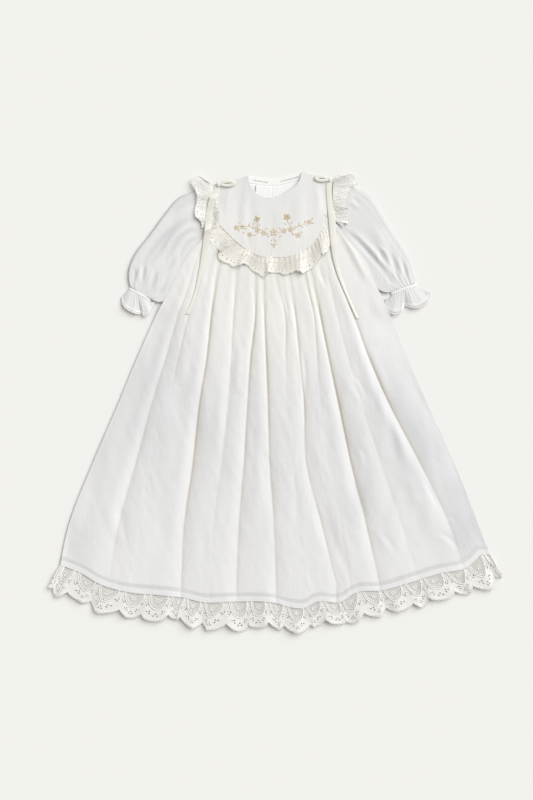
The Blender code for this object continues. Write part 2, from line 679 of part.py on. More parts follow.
def make_sleeve(side, stations, edge):
    """A sleeve from the armhole to the cuff, its cuff band and the eyelet frill below the band."""
    table = through(stations, SLEEVE_ROWS) * MM
    outer, inner, middle = table[:, 0:2], table[:, 2:4], table[:, 4]
    width = np.linalg.norm(inner - outer, axis=-1).min()
    shares = across_shares(SLEEVE_COLUMNS, width, SLEEVE_RIM / 2)
    plan = outer[:, None] * (1 - shares[None, :, None]) + inner[:, None] * shares[None, :, None]
    along, across = np.meshgrid(np.linspace(0, 1, SLEEVE_ROWS), shares, indexing="ij")
    bulge = (middle[:, None] - SLEEVE_RIM) * np.sin(np.pi * across) ** SLEEVE_BULGE_POWER
    height = SLEEVE_RIM + bulge + sleeve_folds(along, across)
    add_flat_tube("sleeve_" + side, plan, height, ORGANZA_WALL, ORGANZA)

    make_cuff(side, outer[-1], inner[-1], edge)


def make_cuff(side, outer, inner, edge):
    """The band round a sleeve's end and the frill below it, whose free edge follows a table of points."""
    cuff = inner - outer
    away = np.array([cuff[1], -cuff[0]]) / np.linalg.norm(cuff)
    if away[1] > 0:
        away = -away
    rows = np.array(CUFF_BAND_ROWS)
    shares = across_shares(CUFF_BAND_COLUMNS, np.linalg.norm(cuff), SLEEVE_RIM / 2)
    plan = outer + cuff * shares[None, :, None] + away * rows[:, :1, None]
    height = CUFF_BAND_HEIGHT * rows[:, 1:] * np.ones(CUFF_BAND_COLUMNS)
    add_flat_tube("cuff_band_" + side, plan, height, ORGANZA_WALL, ORGANZA)

    shares = across_shares(CUFF_FRILL_COLUMNS, np.linalg.norm(cuff), SLEEVE_RIM / 2)
    start = outer + cuff * shares[:, None] + away * (CUFF_BAND_LENGTH + SEAM_GAP)
    marks = np.linspace(0, 1, len(edge))
    free = np.stack([smooth(shares, marks, column) for column in np.array(edge, float).T * MM], axis=-1)
    plan = blend_rows(start, free, CUFF_FRILL_ROWS)
    along, across = np.meshgrid(np.linspace(0, 1, CUFF_FRILL_ROWS), shares, indexing="ij")
    wave = CUFF_FRILL_WAVE * np.cos(2 * np.pi * CUFF_FRILL_WAVES * across) * along
    height = SLEEVE_RIM + (CUFF_FRILL_CROWN + wave) * np.sin(np.pi * across)
    add_flat_tube("cuff_frill_" + side, plan, height, ORGANZA_WALL, ORGANZA)


def make_tail(side, stations):
    """A ribbon's tail from its bow down over the yoke, its lace and the skirt."""
    table = through(stations, 2 * len(stations) - 1) * MM
    left = np.stack([table[:, 0], table[:, 2], table[:, 3]], axis=-1)
    right = np.stack([table[:, 1], table[:, 2], table[:, 3]], axis=-1)
    points = np.stack([left, (left + right) / 2, right], axis=1)
    down = np.clip((WAIST_Y - points[..., 1]) / SKIRT_LENGTH, 0, 1)
    on_skirt = skirt_height(points[..., 0], points[..., 1], down) + TAIL_RISE
    level = np.where(points[..., 1] < WAIST_Y, on_skirt.max(axis=1, keepdims=True), 0)
    points[..., 2] = np.maximum(points[..., 2], level)
    points[:, 1, 2] += TAIL_CROWN
    add_sheet("ribbon_tail_" + side, points, RIBBON_WALL, SATIN)


def make_bow(bow):
    """A bow: a ribbon loop that goes out from the knot, turns back over itself, and the knot on it."""
    knot = np.array([bow.knot_x, bow.knot_y]) * MM
    reach = np.array([bow.end_x, bow.end_y]) * MM - knot
    turn = np.linspace(-np.pi / 2, np.pi / 2, LOOP_TURN_STEPS)
    half = (LOOP_HIGH_Z - LOOP_LOW_Z) / 2
    bend_share = 1 - half / np.linalg.norm(reach) + half / np.linalg.norm(reach) * np.cos(turn)
    bend_z = LOOP_LOW_Z + half + half * np.sin(turn)
    out = np.array(LOOP_SHARES)
    share = np.concatenate([out, bend_share, out[::-1]])
    z = np.concatenate([np.full(len(out), LOOP_LOW_Z), bend_z, LOOP_RETURN_Z])
    line = knot + reach * share[:, None]
    across = np.array([-reach[1], reach[0]]) / np.linalg.norm(reach)
    widths = np.interp(share, *LOOP_WIDTHS) * bow.width * MM / 2
    near = np.concatenate([line - across * widths[:, None], z[:, None]], axis=-1)
    far = np.concatenate([line + across * widths[:, None], z[:, None]], axis=-1)
    points = np.stack([near, far], axis=1)
    add_wall(add_mesh("bow_loop_" + bow.side, points, grid_faces(len(points), 2)[:, ::-1], SATIN), RIBBON_WALL)

    middle = (*knot, KNOT_Z + KNOT_SIZE[2] / 2)
    bpy.ops.mesh.primitive_uv_sphere_add(segments=KNOT_SEGMENTS, ring_count=KNOT_RINGS, location=middle)
    piece = bpy.context.object
    piece.name = "bow_knot_" + bow.side
    piece.scale = np.array(KNOT_SIZE) / 2
    bpy.ops.object.transform_apply(location=False, rotation=False, scale=True)
    piece.data.shade_smooth()
    piece.data.materials.append(finish(SATIN))
    for collection in piece.users_collection:
        collection.objects.unlink(piece)
    bpy.data.collections["christening_gown"].objects.link(piece)


def main():
    """Build the gown from the surface up."""
    for old in list(bpy.data.objects):
        bpy.data.objects.remove(old, do_unlink=True)
    gown = bpy.data.collections.new("christening_gown")
    bpy.context.scene.collection.children.link(gown)
    make_back()
    make_front_skirt()
    make_hem_lace()
    make_yoke()
    make_frills()
    make_sleeve("left", LEFT_SLEEVE, LEFT_CUFF_EDGE)
    make_sleeve("right", RIGHT_SLEEVE, RIGHT_CUFF_EDGE)
    make_tail("left", LEFT_TAIL)
    make_tail("right", RIGHT_TAIL)
    for bow in BOWS:
        make_bow(bow)


main()
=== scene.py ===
"""Looks of a child's long christening gown, laid flat on its back on a pale surface.

Metres, +Z up, +Y towards the neck. The tables give places in mm from the middle of the gown and are turned
into metres where they are read. Every cloth is a surface over two parameters, worked out as whole arrays, on
the form of its plain solid. Lace is a thin net sheet with raised cords, petals and eyelet rims. A share runs
from 0 to 1, across a piece from its left to its right or down it.
"""

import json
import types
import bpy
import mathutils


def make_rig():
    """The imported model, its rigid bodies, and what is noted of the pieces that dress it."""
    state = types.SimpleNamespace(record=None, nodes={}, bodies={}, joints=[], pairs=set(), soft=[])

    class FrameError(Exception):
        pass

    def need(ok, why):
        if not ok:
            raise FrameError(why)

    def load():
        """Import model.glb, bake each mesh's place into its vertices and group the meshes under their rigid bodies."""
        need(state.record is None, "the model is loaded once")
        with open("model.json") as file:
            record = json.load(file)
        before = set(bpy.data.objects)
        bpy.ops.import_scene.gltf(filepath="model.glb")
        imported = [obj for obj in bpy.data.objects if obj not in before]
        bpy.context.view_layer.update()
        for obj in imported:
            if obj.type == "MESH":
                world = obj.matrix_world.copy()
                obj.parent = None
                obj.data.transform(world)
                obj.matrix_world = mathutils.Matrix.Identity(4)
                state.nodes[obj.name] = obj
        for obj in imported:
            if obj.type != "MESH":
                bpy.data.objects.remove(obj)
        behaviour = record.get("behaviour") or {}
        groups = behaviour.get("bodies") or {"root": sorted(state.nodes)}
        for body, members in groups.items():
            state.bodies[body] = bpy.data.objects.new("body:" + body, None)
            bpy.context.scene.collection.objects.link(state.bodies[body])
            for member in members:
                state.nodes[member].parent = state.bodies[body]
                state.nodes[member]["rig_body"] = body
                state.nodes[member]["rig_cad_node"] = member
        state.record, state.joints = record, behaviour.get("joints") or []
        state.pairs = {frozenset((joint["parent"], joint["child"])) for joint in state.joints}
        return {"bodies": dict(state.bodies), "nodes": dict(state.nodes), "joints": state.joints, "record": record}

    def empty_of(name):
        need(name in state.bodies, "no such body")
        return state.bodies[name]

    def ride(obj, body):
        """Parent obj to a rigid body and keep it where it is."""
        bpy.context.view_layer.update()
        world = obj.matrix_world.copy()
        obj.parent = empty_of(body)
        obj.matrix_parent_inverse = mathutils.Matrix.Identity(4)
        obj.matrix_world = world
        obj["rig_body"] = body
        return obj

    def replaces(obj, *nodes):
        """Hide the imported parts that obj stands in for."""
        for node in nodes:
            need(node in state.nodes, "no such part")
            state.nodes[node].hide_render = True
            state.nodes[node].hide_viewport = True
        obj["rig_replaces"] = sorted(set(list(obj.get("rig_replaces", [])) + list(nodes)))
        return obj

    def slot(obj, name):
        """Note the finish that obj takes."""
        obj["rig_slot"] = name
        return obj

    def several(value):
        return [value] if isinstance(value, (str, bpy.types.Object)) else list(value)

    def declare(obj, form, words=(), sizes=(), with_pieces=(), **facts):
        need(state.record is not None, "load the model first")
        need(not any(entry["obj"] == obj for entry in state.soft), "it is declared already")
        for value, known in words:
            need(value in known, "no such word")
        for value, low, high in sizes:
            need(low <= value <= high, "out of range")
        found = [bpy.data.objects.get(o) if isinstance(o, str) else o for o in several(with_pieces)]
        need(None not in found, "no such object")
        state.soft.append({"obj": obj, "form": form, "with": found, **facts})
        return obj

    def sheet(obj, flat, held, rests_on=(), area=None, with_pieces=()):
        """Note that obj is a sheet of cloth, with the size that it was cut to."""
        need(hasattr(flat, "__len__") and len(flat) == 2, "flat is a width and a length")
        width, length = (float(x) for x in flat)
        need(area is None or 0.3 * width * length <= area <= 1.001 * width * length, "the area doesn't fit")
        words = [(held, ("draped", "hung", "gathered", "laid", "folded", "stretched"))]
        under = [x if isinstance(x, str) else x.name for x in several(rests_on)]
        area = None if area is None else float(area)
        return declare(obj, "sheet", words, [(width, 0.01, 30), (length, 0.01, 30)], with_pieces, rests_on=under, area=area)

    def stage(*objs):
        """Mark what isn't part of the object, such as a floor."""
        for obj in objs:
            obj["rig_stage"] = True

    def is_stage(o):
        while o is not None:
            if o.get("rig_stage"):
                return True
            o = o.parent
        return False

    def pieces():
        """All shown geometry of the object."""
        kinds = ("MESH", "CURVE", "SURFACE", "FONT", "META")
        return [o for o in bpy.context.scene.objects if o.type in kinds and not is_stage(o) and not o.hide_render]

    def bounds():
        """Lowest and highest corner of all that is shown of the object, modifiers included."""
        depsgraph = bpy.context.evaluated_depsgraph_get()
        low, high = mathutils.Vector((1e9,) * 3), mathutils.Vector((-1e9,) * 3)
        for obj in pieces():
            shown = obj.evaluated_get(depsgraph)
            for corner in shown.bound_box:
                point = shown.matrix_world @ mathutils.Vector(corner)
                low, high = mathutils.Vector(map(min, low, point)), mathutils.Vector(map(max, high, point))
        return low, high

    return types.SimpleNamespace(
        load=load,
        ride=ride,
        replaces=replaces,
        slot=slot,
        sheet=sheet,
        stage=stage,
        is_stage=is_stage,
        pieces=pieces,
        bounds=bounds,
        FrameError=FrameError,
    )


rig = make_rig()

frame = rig.load()

import json
import logging
from collections.abc import Callable, Iterator
from dataclasses import dataclass, field
from enum import Enum

import bpy
import numpy as np
from mathutils import Vector

MM = 0.001
BODY = "root"
SIZE_FILE = "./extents.json"
FULL_TURN = 2 * np.pi
Array = np.ndarray
Rows = tuple[tuple[float, ...], ...]
log = logging.getLogger("christening_gown")


class Side(Enum):
    """The side of the gown, as the picture shows it."""

    LEFT = "left"
    RIGHT = "right"


class Held(Enum):
    """How a sheet of cloth lies."""

    LAID = "laid"
    GATHERED = "gathered"
    FOLDED = "folded"


# Curves, noise and directions


def shares(count: int) -> Array:
    """Even shares from 0 to 1."""
    return np.linspace(0, 1, count)


def rounded_shares(count: int) -> Array:
    """Shares from 0 to 1, closer together at both ends: half of 1 less a cosine."""
    return 0.5 - 0.5 * np.cos(np.pi * shares(count))


def smooth(at: Array, stations: Array, values: Array) -> Array:
    """Cubic curve through values at rising stations, with the mean slope of its neighbours at each.

    Args:
        at: where the curve is read.
        stations: rising places of the values.
        values: one number for each station.

    Returns:
        The curve's value at each place.
    """
    stations, values = np.asarray(stations, float), np.asarray(values, float)
    slopes = np.gradient(values, stations)
    at = np.clip(at, stations[0], stations[-1])
    index = np.clip(np.searchsorted(stations, at, side="right") - 1, 0, len(stations) - 2)
    step = stations[index + 1] - stations[index]
    u = (at - stations[index]) / step
    start = (1 + 2 * u) * (1 - u) ** 2 * values[index]
    end = (3 - 2 * u) * u**2 * values[index + 1]
    return start + end + u * (1 - u) * step * ((1 - u) * slopes[index] - u * slopes[index + 1])


def through(rows: Rows | Array, at: Array | int, curve: Callable = smooth) -> Array:
    """Points of a curve through the rows of a table.

    Args:
        rows: the table, one point a row.
        at: shares of the way from the first row to the last, or a count of even ones.
        curve: smooth, or np.interp for straight stretches.

    Returns:
        A row for each share.
    """
    table = np.asarray(rows, float)
    marks = np.arange(len(table))
    places = (shares(at) if isinstance(at, int) else at) * marks[-1]
    return np.stack([curve(places, marks, column) for column in table.T], axis=-1)


def ease(value: Array) -> Array:
    """A soft step from 0 to 1 as a value goes from 0 to 1: 3 v squared less 2 v cubed."""
    value = np.clip(value, 0, 1)
    return value * value * (3 - 2 * value)


def bell(away: Array, power: float = 2) -> Array:
    """A bell from 1 at 0 to 0 far off: the falling power of e over the size of the value to a power."""
    return np.exp(-(np.abs(away) ** power))


def smooth_rows(values: Array, times: int) -> Array:
    """Averages each row with its neighbours a number of times."""
    for _ in range(times):
        padded = np.concatenate([values[:1], values, values[-1:]])
        values = (padded[:-2] + 2 * padded[1:-1] + padded[2:]) / 4
    return values


def lattice(i: Array, j: Array, seed: float) -> Array:
    """A fixed number from -1 to 1 for each pair of whole numbers: the fraction of a steep sine."""
    return 2 * np.mod(np.sin(i * 127.1 + j * 311.7 + seed * 74.7) * 43758.5453, 1.0) - 1


def noise(x: Array, y: Array, size_x: float, size_y: float, seed: float) -> Array:
    """Soft bumps of a given size: fixed numbers on a lattice, blended by a soft step between its corners.

    Args:
        x: first coordinate.
        y: second coordinate.
        size_x: length of a bump along x.
        size_y: length of a bump along y.
        seed: a number that picks one pattern.

    Returns:
        Values from -1 to 1.
    """
    a, b = x / size_x, y / size_y
    i, j = np.floor(a), np.floor(b)
    u, v = ease(a - i), ease(b - j)
    low, high = (lattice(i, row, seed) * (1 - u) + lattice(i + 1, row, seed) * u for row in (j, j + 1))
    return low * (1 - v) + high * v


def wander(at: Array, size: float, seed: float, row: float = 0) -> Array:
    """A soft uneven line from -1 to 1 with bumps of a size; each row number is a line of its own."""
    return noise(at, at * 0 + row, size, 1.0, seed)


def unit(vectors: Array) -> Array:
    """The vectors at length 1."""
    return vectors / np.maximum(np.linalg.norm(vectors, axis=-1, keepdims=True), 1e-12)


def raised(plan: Array, height: Array | float) -> Array:
    """Points over places in the plan, at a height."""
    return np.concatenate([plan, np.broadcast_to(height, plan.shape[:-1])[..., None]], axis=-1)


def ruled(start: Array, end: Array, down: Array) -> Array:
    """Points on straight lines between two edges, at rows x 1 or rows x columns shares of the way."""
    return start + (end - start) * down[..., None]


# Meshes


def face_corners(down: int, across: int) -> tuple[Array, Array]:
    """Row and column of the four corners of each face of a grid, whose faces look up from the cloth."""
    row, column = np.meshgrid(np.arange(down), np.arange(across), indexing="ij")
    rows, columns = (row, row + 1, row + 1, row), (column, column, column + 1, column + 1)
    return np.stack(rows, axis=-1).reshape(-1, 4), np.stack(columns, axis=-1).reshape(-1, 4)


def face_middles(rows: int, columns: int) -> list[Array]:
    """Shares across and down at the middle of each face of a grid of points."""
    return np.meshgrid(*((np.arange(count - 1) + 0.5) / (count - 1) for count in (columns, rows)))


@dataclass
class MeshBag:
    """Forms gathered into one mesh: points, four-sided faces with their uvs, and many-sided caps."""

    points: list[Array] = field(default_factory=list)
    quads: list[Array] = field(default_factory=list)
    uvs: list[Array] = field(default_factory=list)
    caps: list[list[int]] = field(default_factory=list)
    count: int = 0

    def add(self, points: Array, quads: Array, uvs: Array, caps: Array | tuple = ()) -> None:
        """Adds a form whose faces count its own points from 0.

        Args:
            points: the form's points, in any grid shape.
            quads: four point numbers a face.
            uvs: a uv for each corner of each face.
            caps: point numbers of each cap.
        """
        self.points.append(points.reshape(-1, 3))
        self.quads.append(quads.reshape(-1, 4) + self.count)
        self.uvs.append(uvs.reshape(-1, 2))
        self.caps.extend((np.asarray(caps, int) + self.count).tolist())
        self.count += len(self.points[-1])

    def add_rings(self, points: Array, ring_uv: float, side_uv: float, closed: bool = False) -> None:
        """Adds forms made of rings: a skin round each form, and a flat cap on each open end.

        Args:
            points: forms x rings x sides x 3.
            ring_uv: first uv from one ring to the next.
            side_uv: second uv from one side to the next.
            closed: whether the last ring joins the first.
        """
        count, rings, sides, _ = points.shape
        ring, side = face_corners(rings if closed else rings - 1, sides)
        offset = np.arange(count)[:, None, None] * rings * sides
        uvs = np.stack([ring * ring_uv, side * side_uv], axis=-1)
        first = offset[..., 0] + np.arange(sides)
        last = offset[..., 0] + (rings - 1) * sides + np.arange(sides)[::-1]
        self.add(points, ring % rings * sides + side % sides + offset,
                 np.broadcast_to(uvs, (count, *uvs.shape)), () if closed else np.concatenate([first, last]))

    def build(self, name: str) -> bpy.types.Object:
        """Makes the mesh object, smooth shaded, with its uv map.

        Args:
            name: the piece's name.

        Returns:
            The object.
        """
        mesh = bpy.data.meshes.new(name)
        quads = np.concatenate(self.quads)
        mesh.from_pydata(np.concatenate(self.points).tolist(), [], quads.tolist() + self.caps)
        corners = np.zeros((len(mesh.loops), 2))
        corners[: quads.size] = np.concatenate(self.uvs)
        mesh.uv_layers.new(name="cloth").data.foreach_set("uv", corners.ravel())
        mesh.update()
        mesh.shade_smooth()
        piece = bpy.data.objects.new(name, mesh)
        bpy.context.scene.collection.objects.link(piece)
        return piece


def wall(piece: bpy.types.Object, thickness: float) -> bpy.types.Object:
    """Gives a sheet its thickness, under its outer face."""
    solid = piece.modifiers.new("wall", "SOLIDIFY")
    solid.thickness, solid.offset = thickness, -1.0
    return piece


@dataclass
class Surface:
    """A sheet as a grid of points, with rows down the cloth and columns across it."""

    points: Array

    def lengths(self) -> tuple[Array, Array]:
        """Mean way along the columns and along the rows, in metres, for the uv map."""
        steps = [np.linalg.norm(np.diff(self.points, axis=axis), axis=-1).mean(axis=1 - axis)
                 for axis in (1, 0)]
        return tuple(np.concatenate([[0], np.cumsum(step)]) for step in steps)

    def area(self) -> float:
        """Area of the sheet: the sum of its faces' side products."""
        across, down = np.diff(self.points, axis=1)[:-1], np.diff(self.points, axis=0)[:, :-1]
        return float(np.linalg.norm(np.cross(down, across), axis=-1).sum())

    def normals(self) -> Array:
        """Unit normals: the step down the cloth crossed with the step across it."""
        return unit(np.cross(np.gradient(self.points, axis=0), np.gradient(self.points, axis=1)))

    def locate(self, across: Array, down: Array, lift: float = 0.0) -> tuple[Array, Array]:
        """Points at shares across and down the sheet, raised along its normal.

        Args:
            across: shares over the columns.
            down: shares over the rows; past 1 the sheet goes straight on.
            lift: height over the sheet.

        Returns:
            The points and the unit normals there.
        """
        rows, columns, _ = self.points.shape
        across, down = np.broadcast_arrays(across, down)
        a = np.clip(across, 0, 1) * (columns - 1)
        b = np.clip(down, 0, None) * (rows - 1)
        i = np.clip(np.floor(a).astype(int), 0, columns - 2)
        j = np.clip(np.floor(b).astype(int), 0, rows - 2)
        u, v = (a - i)[..., None], (b - j)[..., None]

        def blend(grid: Array) -> Array:
            """The four corners of a cell, mixed by the shares across and down it."""
            upper, lower = (grid[row, i] * (1 - u) + grid[row, i + 1] * u for row in (j, j + 1))
            return upper * (1 - v) + lower * v

        normal = unit(blend(self.normals()))
        return blend(self.points) + normal * lift, normal

    def off(self, x: Array, y: Array) -> Array:
        """Squared way in the plan from each place to each of the sheet's points."""
        flat = self.points.reshape(-1, 3)
        return (x.reshape(-1, 1) - flat[:, 0]) ** 2 + (y.reshape(-1, 1) - flat[:, 1]) ** 2

    def drape(self, x: Array, y: Array, lift: float = 0.0) -> tuple[Array, Array]:
        """Points over places in the plan: a mean of the four nearest grid points' heights, by distance.

        Args:
            x: places along X.
            y: places along Y.
            lift: height over the sheet.

        Returns:
            The points and the unit normals there.
        """
        away = self.off(x, y)
        near = np.argpartition(away, 4, axis=1)[:, :4]
        weight = 1 / (np.take_along_axis(away, near, axis=1) + 1e-9)
        weight /= weight.sum(axis=1, keepdims=True)
        z = (self.points.reshape(-1, 3)[near, 2] * weight).sum(axis=1).reshape(x.shape)
        normal = unit((self.normals().reshape(-1, 3)[near] * weight[..., None]).sum(axis=1))
        normal = normal.reshape(x.shape + (3,))
        return np.stack([x, y, z], axis=-1) + normal * lift, normal

    def under(self, x: Array, y: Array, reach: float = 4 * MM) -> Array:
        """Height of the sheet's nearest grid point at places in the plan, or 0 where none is in reach."""
        away = self.off(x, y)
        nearest = self.points.reshape(-1, 3)[away.argmin(axis=1), 2]
        return np.where(away.min(axis=1) < reach**2, nearest, 0.0).reshape(x.shape)

    def cloth(self, name: str, thickness: float = 0, keep: Array | None = None) -> bpy.types.Object:
        """The sheet as a mesh object.

        Args:
            name: the piece's name.
            thickness: its wall, or 0 for a bare sheet.
            keep: for each face, whether it stays; a face that goes leaves a hole.

        Returns:
            The object, with a uv map in metres.
        """
        rows, columns, _ = self.points.shape
        across, down = self.lengths()
        row, column = face_corners(rows - 1, columns - 1)
        stays = np.ones(len(row), bool) if keep is None else keep.ravel()
        uvs = np.stack([across[column], down[row]], axis=-1)
        bag = MeshBag()
        bag.add(self.points, (row * columns + column)[stays], uvs[stays])
        piece = bag.build(name)
        return wall(piece, thickness) if thickness else piece


def tubes(bag: MeshBag, paths: Array, radius: float, sides: int, up: Array | None = None,
          closed: bool = False, flat: float = 1.0) -> None:
    """Adds cords along paths: each ring is radius times (cosine of the side plus sine of the up direction).

    Args:
        bag: where the cords go.
        paths: number of cords x points of each x 3.
        radius: radius of the cords.
        sides: points of a ring.
        up: the direction away from the cloth at each point, else +Z.
        closed: whether each path is a loop.
        flat: height of a ring over its width.
    """
    along = np.roll(paths, -1, axis=1) - np.roll(paths, 1, axis=1) if closed else np.gradient(paths, axis=1)
    along = unit(along)
    side = unit(np.cross(along, np.broadcast_to([0.0, 0.0, 1.0], paths.shape) if up is None else up))
    rise = np.cross(side, along) * flat
    angle = (np.arange(sides) * FULL_TURN / sides)[:, None]
    ring = np.cos(angle) * side[:, :, None] + np.sin(angle) * rise[:, :, None]
    step = np.linalg.norm(np.diff(paths, axis=1), axis=-1).mean()
    bag.add_rings(paths[:, :, None] + radius * ring, step, 1 / sides, closed)


def domes(bag: MeshBag, centres: Array, long: Array, wide: Array, rise: Array, sides: int = 8,
          point: float = 0.0, rings: tuple[float, ...] = (1.0, 0.72, 0.3)) -> None:
    """Adds stitched mounds: at ring r the outline is r times the full one and the height 1 less r squared.

    Args:
        bag: where the mounds go.
        centres: middle of each mound's foot.
        long: half length of each, as a vector.
        wide: half width of each, as a vector.
        rise: height of each, as a vector.
        sides: points of an outline.
        point: 0 for an oval, up to 1 for a leaf with sharp ends.
        rings: sizes of the rings, from the foot up.
    """
    angle = np.arange(sides) * FULL_TURN / sides
    size = np.array(rings[::-1])[:, None, None]
    out = np.cos(angle)[:, None]
    off = (np.sin(angle) * np.abs(np.sin(angle)) ** point)[:, None]
    plan = size * (out * long[:, None, None] + off * wide[:, None, None])
    points = centres[:, None, None] + plan + (1 - size**2) * rise[:, None, None]
    bag.add_rings(points, -0.5 * MM, 0.5 * MM)


@dataclass(frozen=True)
class Crease:
    """A trough, or a ridge where its depth is below 0, on a bent line in the plan (mm)."""

    x0: float
    y0: float
    x1: float
    y1: float
    bend: float
    width: float
    depth: float

    def height(self, x: Array, y: Array) -> Array:
        """Height that the crease adds.

        A point's way along the line gives its share t. Its distance off the line, less bend times
        4 t (1 - t), gives a bell of the crease's width, which fades towards both ends. A lower bell of the
        other sign stands beside it, as cloth that is pushed aside does.

        Args:
            x: places along X.
            y: places along Y.

        Returns:
            The added height at each place.
        """
        start = np.array([self.x0, self.y0]) * MM
        run = np.array([self.x1, self.y1]) * MM - start
        length = np.linalg.norm(run)
        a, b = x - start[0], y - start[1]
        t = (a * run[0] + b * run[1]) / length**2
        off = (a * run[1] - b * run[0]) / length - self.bend * MM * 4 * t * (1 - t)
        fade = 1 - bell(np.clip(np.minimum(t, 1 - t), 0, None) / 0.22, 1.5)
        width = self.width * MM
        beside = 0.35 * bell((off - 1.9 * width) / (1.2 * width))
        return -self.depth * MM * fade * (bell(off / width) - beside)


def crease_field(creases: Rows, x: Array, y: Array) -> Array:
    """Sum of the heights of a table of creases, whose columns are the fields of Crease."""
    return sum(Crease(*row).height(x, y) for row in creases)


# Shader patterns


def linear(colour: tuple[int, int, int]) -> tuple[float, ...]:
    """Linear colour from the 0 to 255 numbers of a picture: each share to the power 2.2, and 1 for cover."""
    return (*((value / 255) ** 2.2 for value in colour), 1.0)


@dataclass
class Graph:
    """A node tree with short ways to add and join nodes."""

    tree: bpy.types.NodeTree

    def fill(self, node: bpy.types.Node, inputs: dict) -> bpy.types.Node:
        """Sets each named or numbered input of a node to a value, or links it to a socket."""
        for key, value in inputs.items():
            if isinstance(value, bpy.types.NodeSocket):
                self.tree.links.new(value, node.inputs[key])
            else:
                node.inputs[key].default_value = value
        return node

    def node(self, kind: str, inputs: dict | None = None, **settings: object) -> bpy.types.Node:
        """Adds a node.

        Args:
            kind: the node's type, without the ShaderNode at its front.
            inputs: a value or a socket for each named or numbered input.
            settings: the node's own settings.

        Returns:
            The node.
        """
        made = self.tree.nodes.new(kind if kind.startswith("NodeGroup") else "ShaderNode" + kind)
        for name, value in settings.items():
            setattr(made, name, value)
        return self.fill(made, inputs or {})

    def math(self, operation: str, *values: object) -> bpy.types.NodeSocket:
        """The result of a Math node over numbers or sockets."""
        return self.node("Math", dict(enumerate(values)), operation=operation).outputs[0]

    def vector(self, operation: str, inputs: dict) -> bpy.types.NodeSocket:
        """The result of a Vector Math node."""
        return self.node("VectorMath", inputs, operation=operation).outputs[0]

    def span(self, value: object, low: object, high: object, first: object = 0.0, last: object = 1.0,
             **settings: object) -> bpy.types.NodeSocket:
        """A value that goes from the first number to the last as another goes from low to high."""
        inputs = {"Value": value, "From Min": low, "From Max": high, "To Min": first, "To Max": last}
        return self.node("MapRange", inputs, **settings).outputs["Result"]

    def mix(self, factor: object, first: object, second: object) -> bpy.types.NodeSocket:
        """The first colour at 0 to the second at 1."""
        inputs = {"Factor": factor, "A": first, "B": second}
        return self.node("Mix", inputs, data_type="RGBA").outputs["Result"]

    def attribute(self, name: str) -> bpy.types.NodeSocket:
        """A share that is painted on the piece's points."""
        return self.node("Attribute", attribute_name=name, attribute_type="GEOMETRY").outputs["Fac"]

    def bump(self, height: object, depth: float, **onto: object) -> bpy.types.NodeSocket:
        """The normal of a height, in metres, over a plain one or over the Normal that is given."""
        inputs = {"Strength": 1.0, "Distance": depth, "Height": height, **onto}
        return self.node("Bump", inputs).outputs["Normal"]


@dataclass(frozen=True)
class Pattern:
    """A node group that finishes share: its name, its named inputs and outputs, and what fills it."""

    name: str
    inputs: tuple[str, ...]
    outputs: tuple[str, ...]
    fill: Callable[[Graph, dict], dict]

    def on(self, graph: Graph, *values: object) -> dict:
        """The outputs of the group, placed in a graph with a value or a socket for each of its inputs."""
        if self.name not in bpy.data.node_groups:
            tree = bpy.data.node_groups.new(self.name, "ShaderNodeTree")
            for label in self.inputs:
                kind = "NodeSocketVector" if label == "Vector" else "NodeSocketFloat"
                tree.interface.new_socket(label, in_out="INPUT", socket_type=kind)
            for label in self.outputs:
                tree.interface.new_socket(label, in_out="OUTPUT", socket_type="NodeSocketFloat")
            inside = Graph(tree)
            given = inside.node("NodeGroupInput").outputs
            inside.fill(inside.node("NodeGroupOutput"), self.fill(inside, given))
        tree = bpy.data.node_groups[self.name]
        return graph.node("Group", dict(zip(self.inputs, values)), node_tree=tree).outputs


def weave(graph: Graph, given: dict) -> dict:
    """Plain weave: the larger of two sine ridges a right angle apart, each strong where it passes over.

    Args:
        graph: the group's inside.
        given: its inputs.

    Returns:
        Its outputs.
    """
    axes = graph.node("SeparateXYZ", {0: given["Vector"]}).outputs
    turns = [graph.math("DIVIDE", axes[axis], given["Pitch"]) for axis in (0, 1)]
    waves = [graph.math("SINE", graph.math("MULTIPLY", turn, np.pi)) for turn in turns]
    over = graph.math("MULTIPLY", *waves)
    warp, weft = (graph.math("MULTIPLY", graph.math("ABSOLUTE", wave), graph.math(passing, 0.7, over))
                  for wave, passing in zip(waves, ("ADD", "SUBTRACT")))
    return {"Height": graph.math("MAXIMUM", warp, weft)}


def net(graph: Graph, given: dict) -> dict:
    """Lace ground: threads where a cell's border is near, closer set where the closeness is high.

    Args:
        graph: the group's inside.
        given: its inputs.

    Returns:
        Its outputs.
    """
    place = {"Vector": given["Vector"], "Scale": graph.math("DIVIDE", 1.0, given["Cell"]), "Randomness": 0.45}
    cells = graph.node("TexVoronoi", place, voronoi_dimensions="2D", feature="DISTANCE_TO_EDGE")
    width = graph.math("ADD", given["Thread"], graph.math("MULTIPLY", given["Closeness"], 0.34))
    thread = graph.span(cells.outputs["Distance"], width, graph.math("ADD", width, 0.06), 1.0, 0.0)
    flat = graph.math("SUBTRACT", 1.0, graph.math("MULTIPLY", given["Closeness"], 0.8))
    return {"Cover": thread, "Height": graph.math("MULTIPLY", thread, flat)}


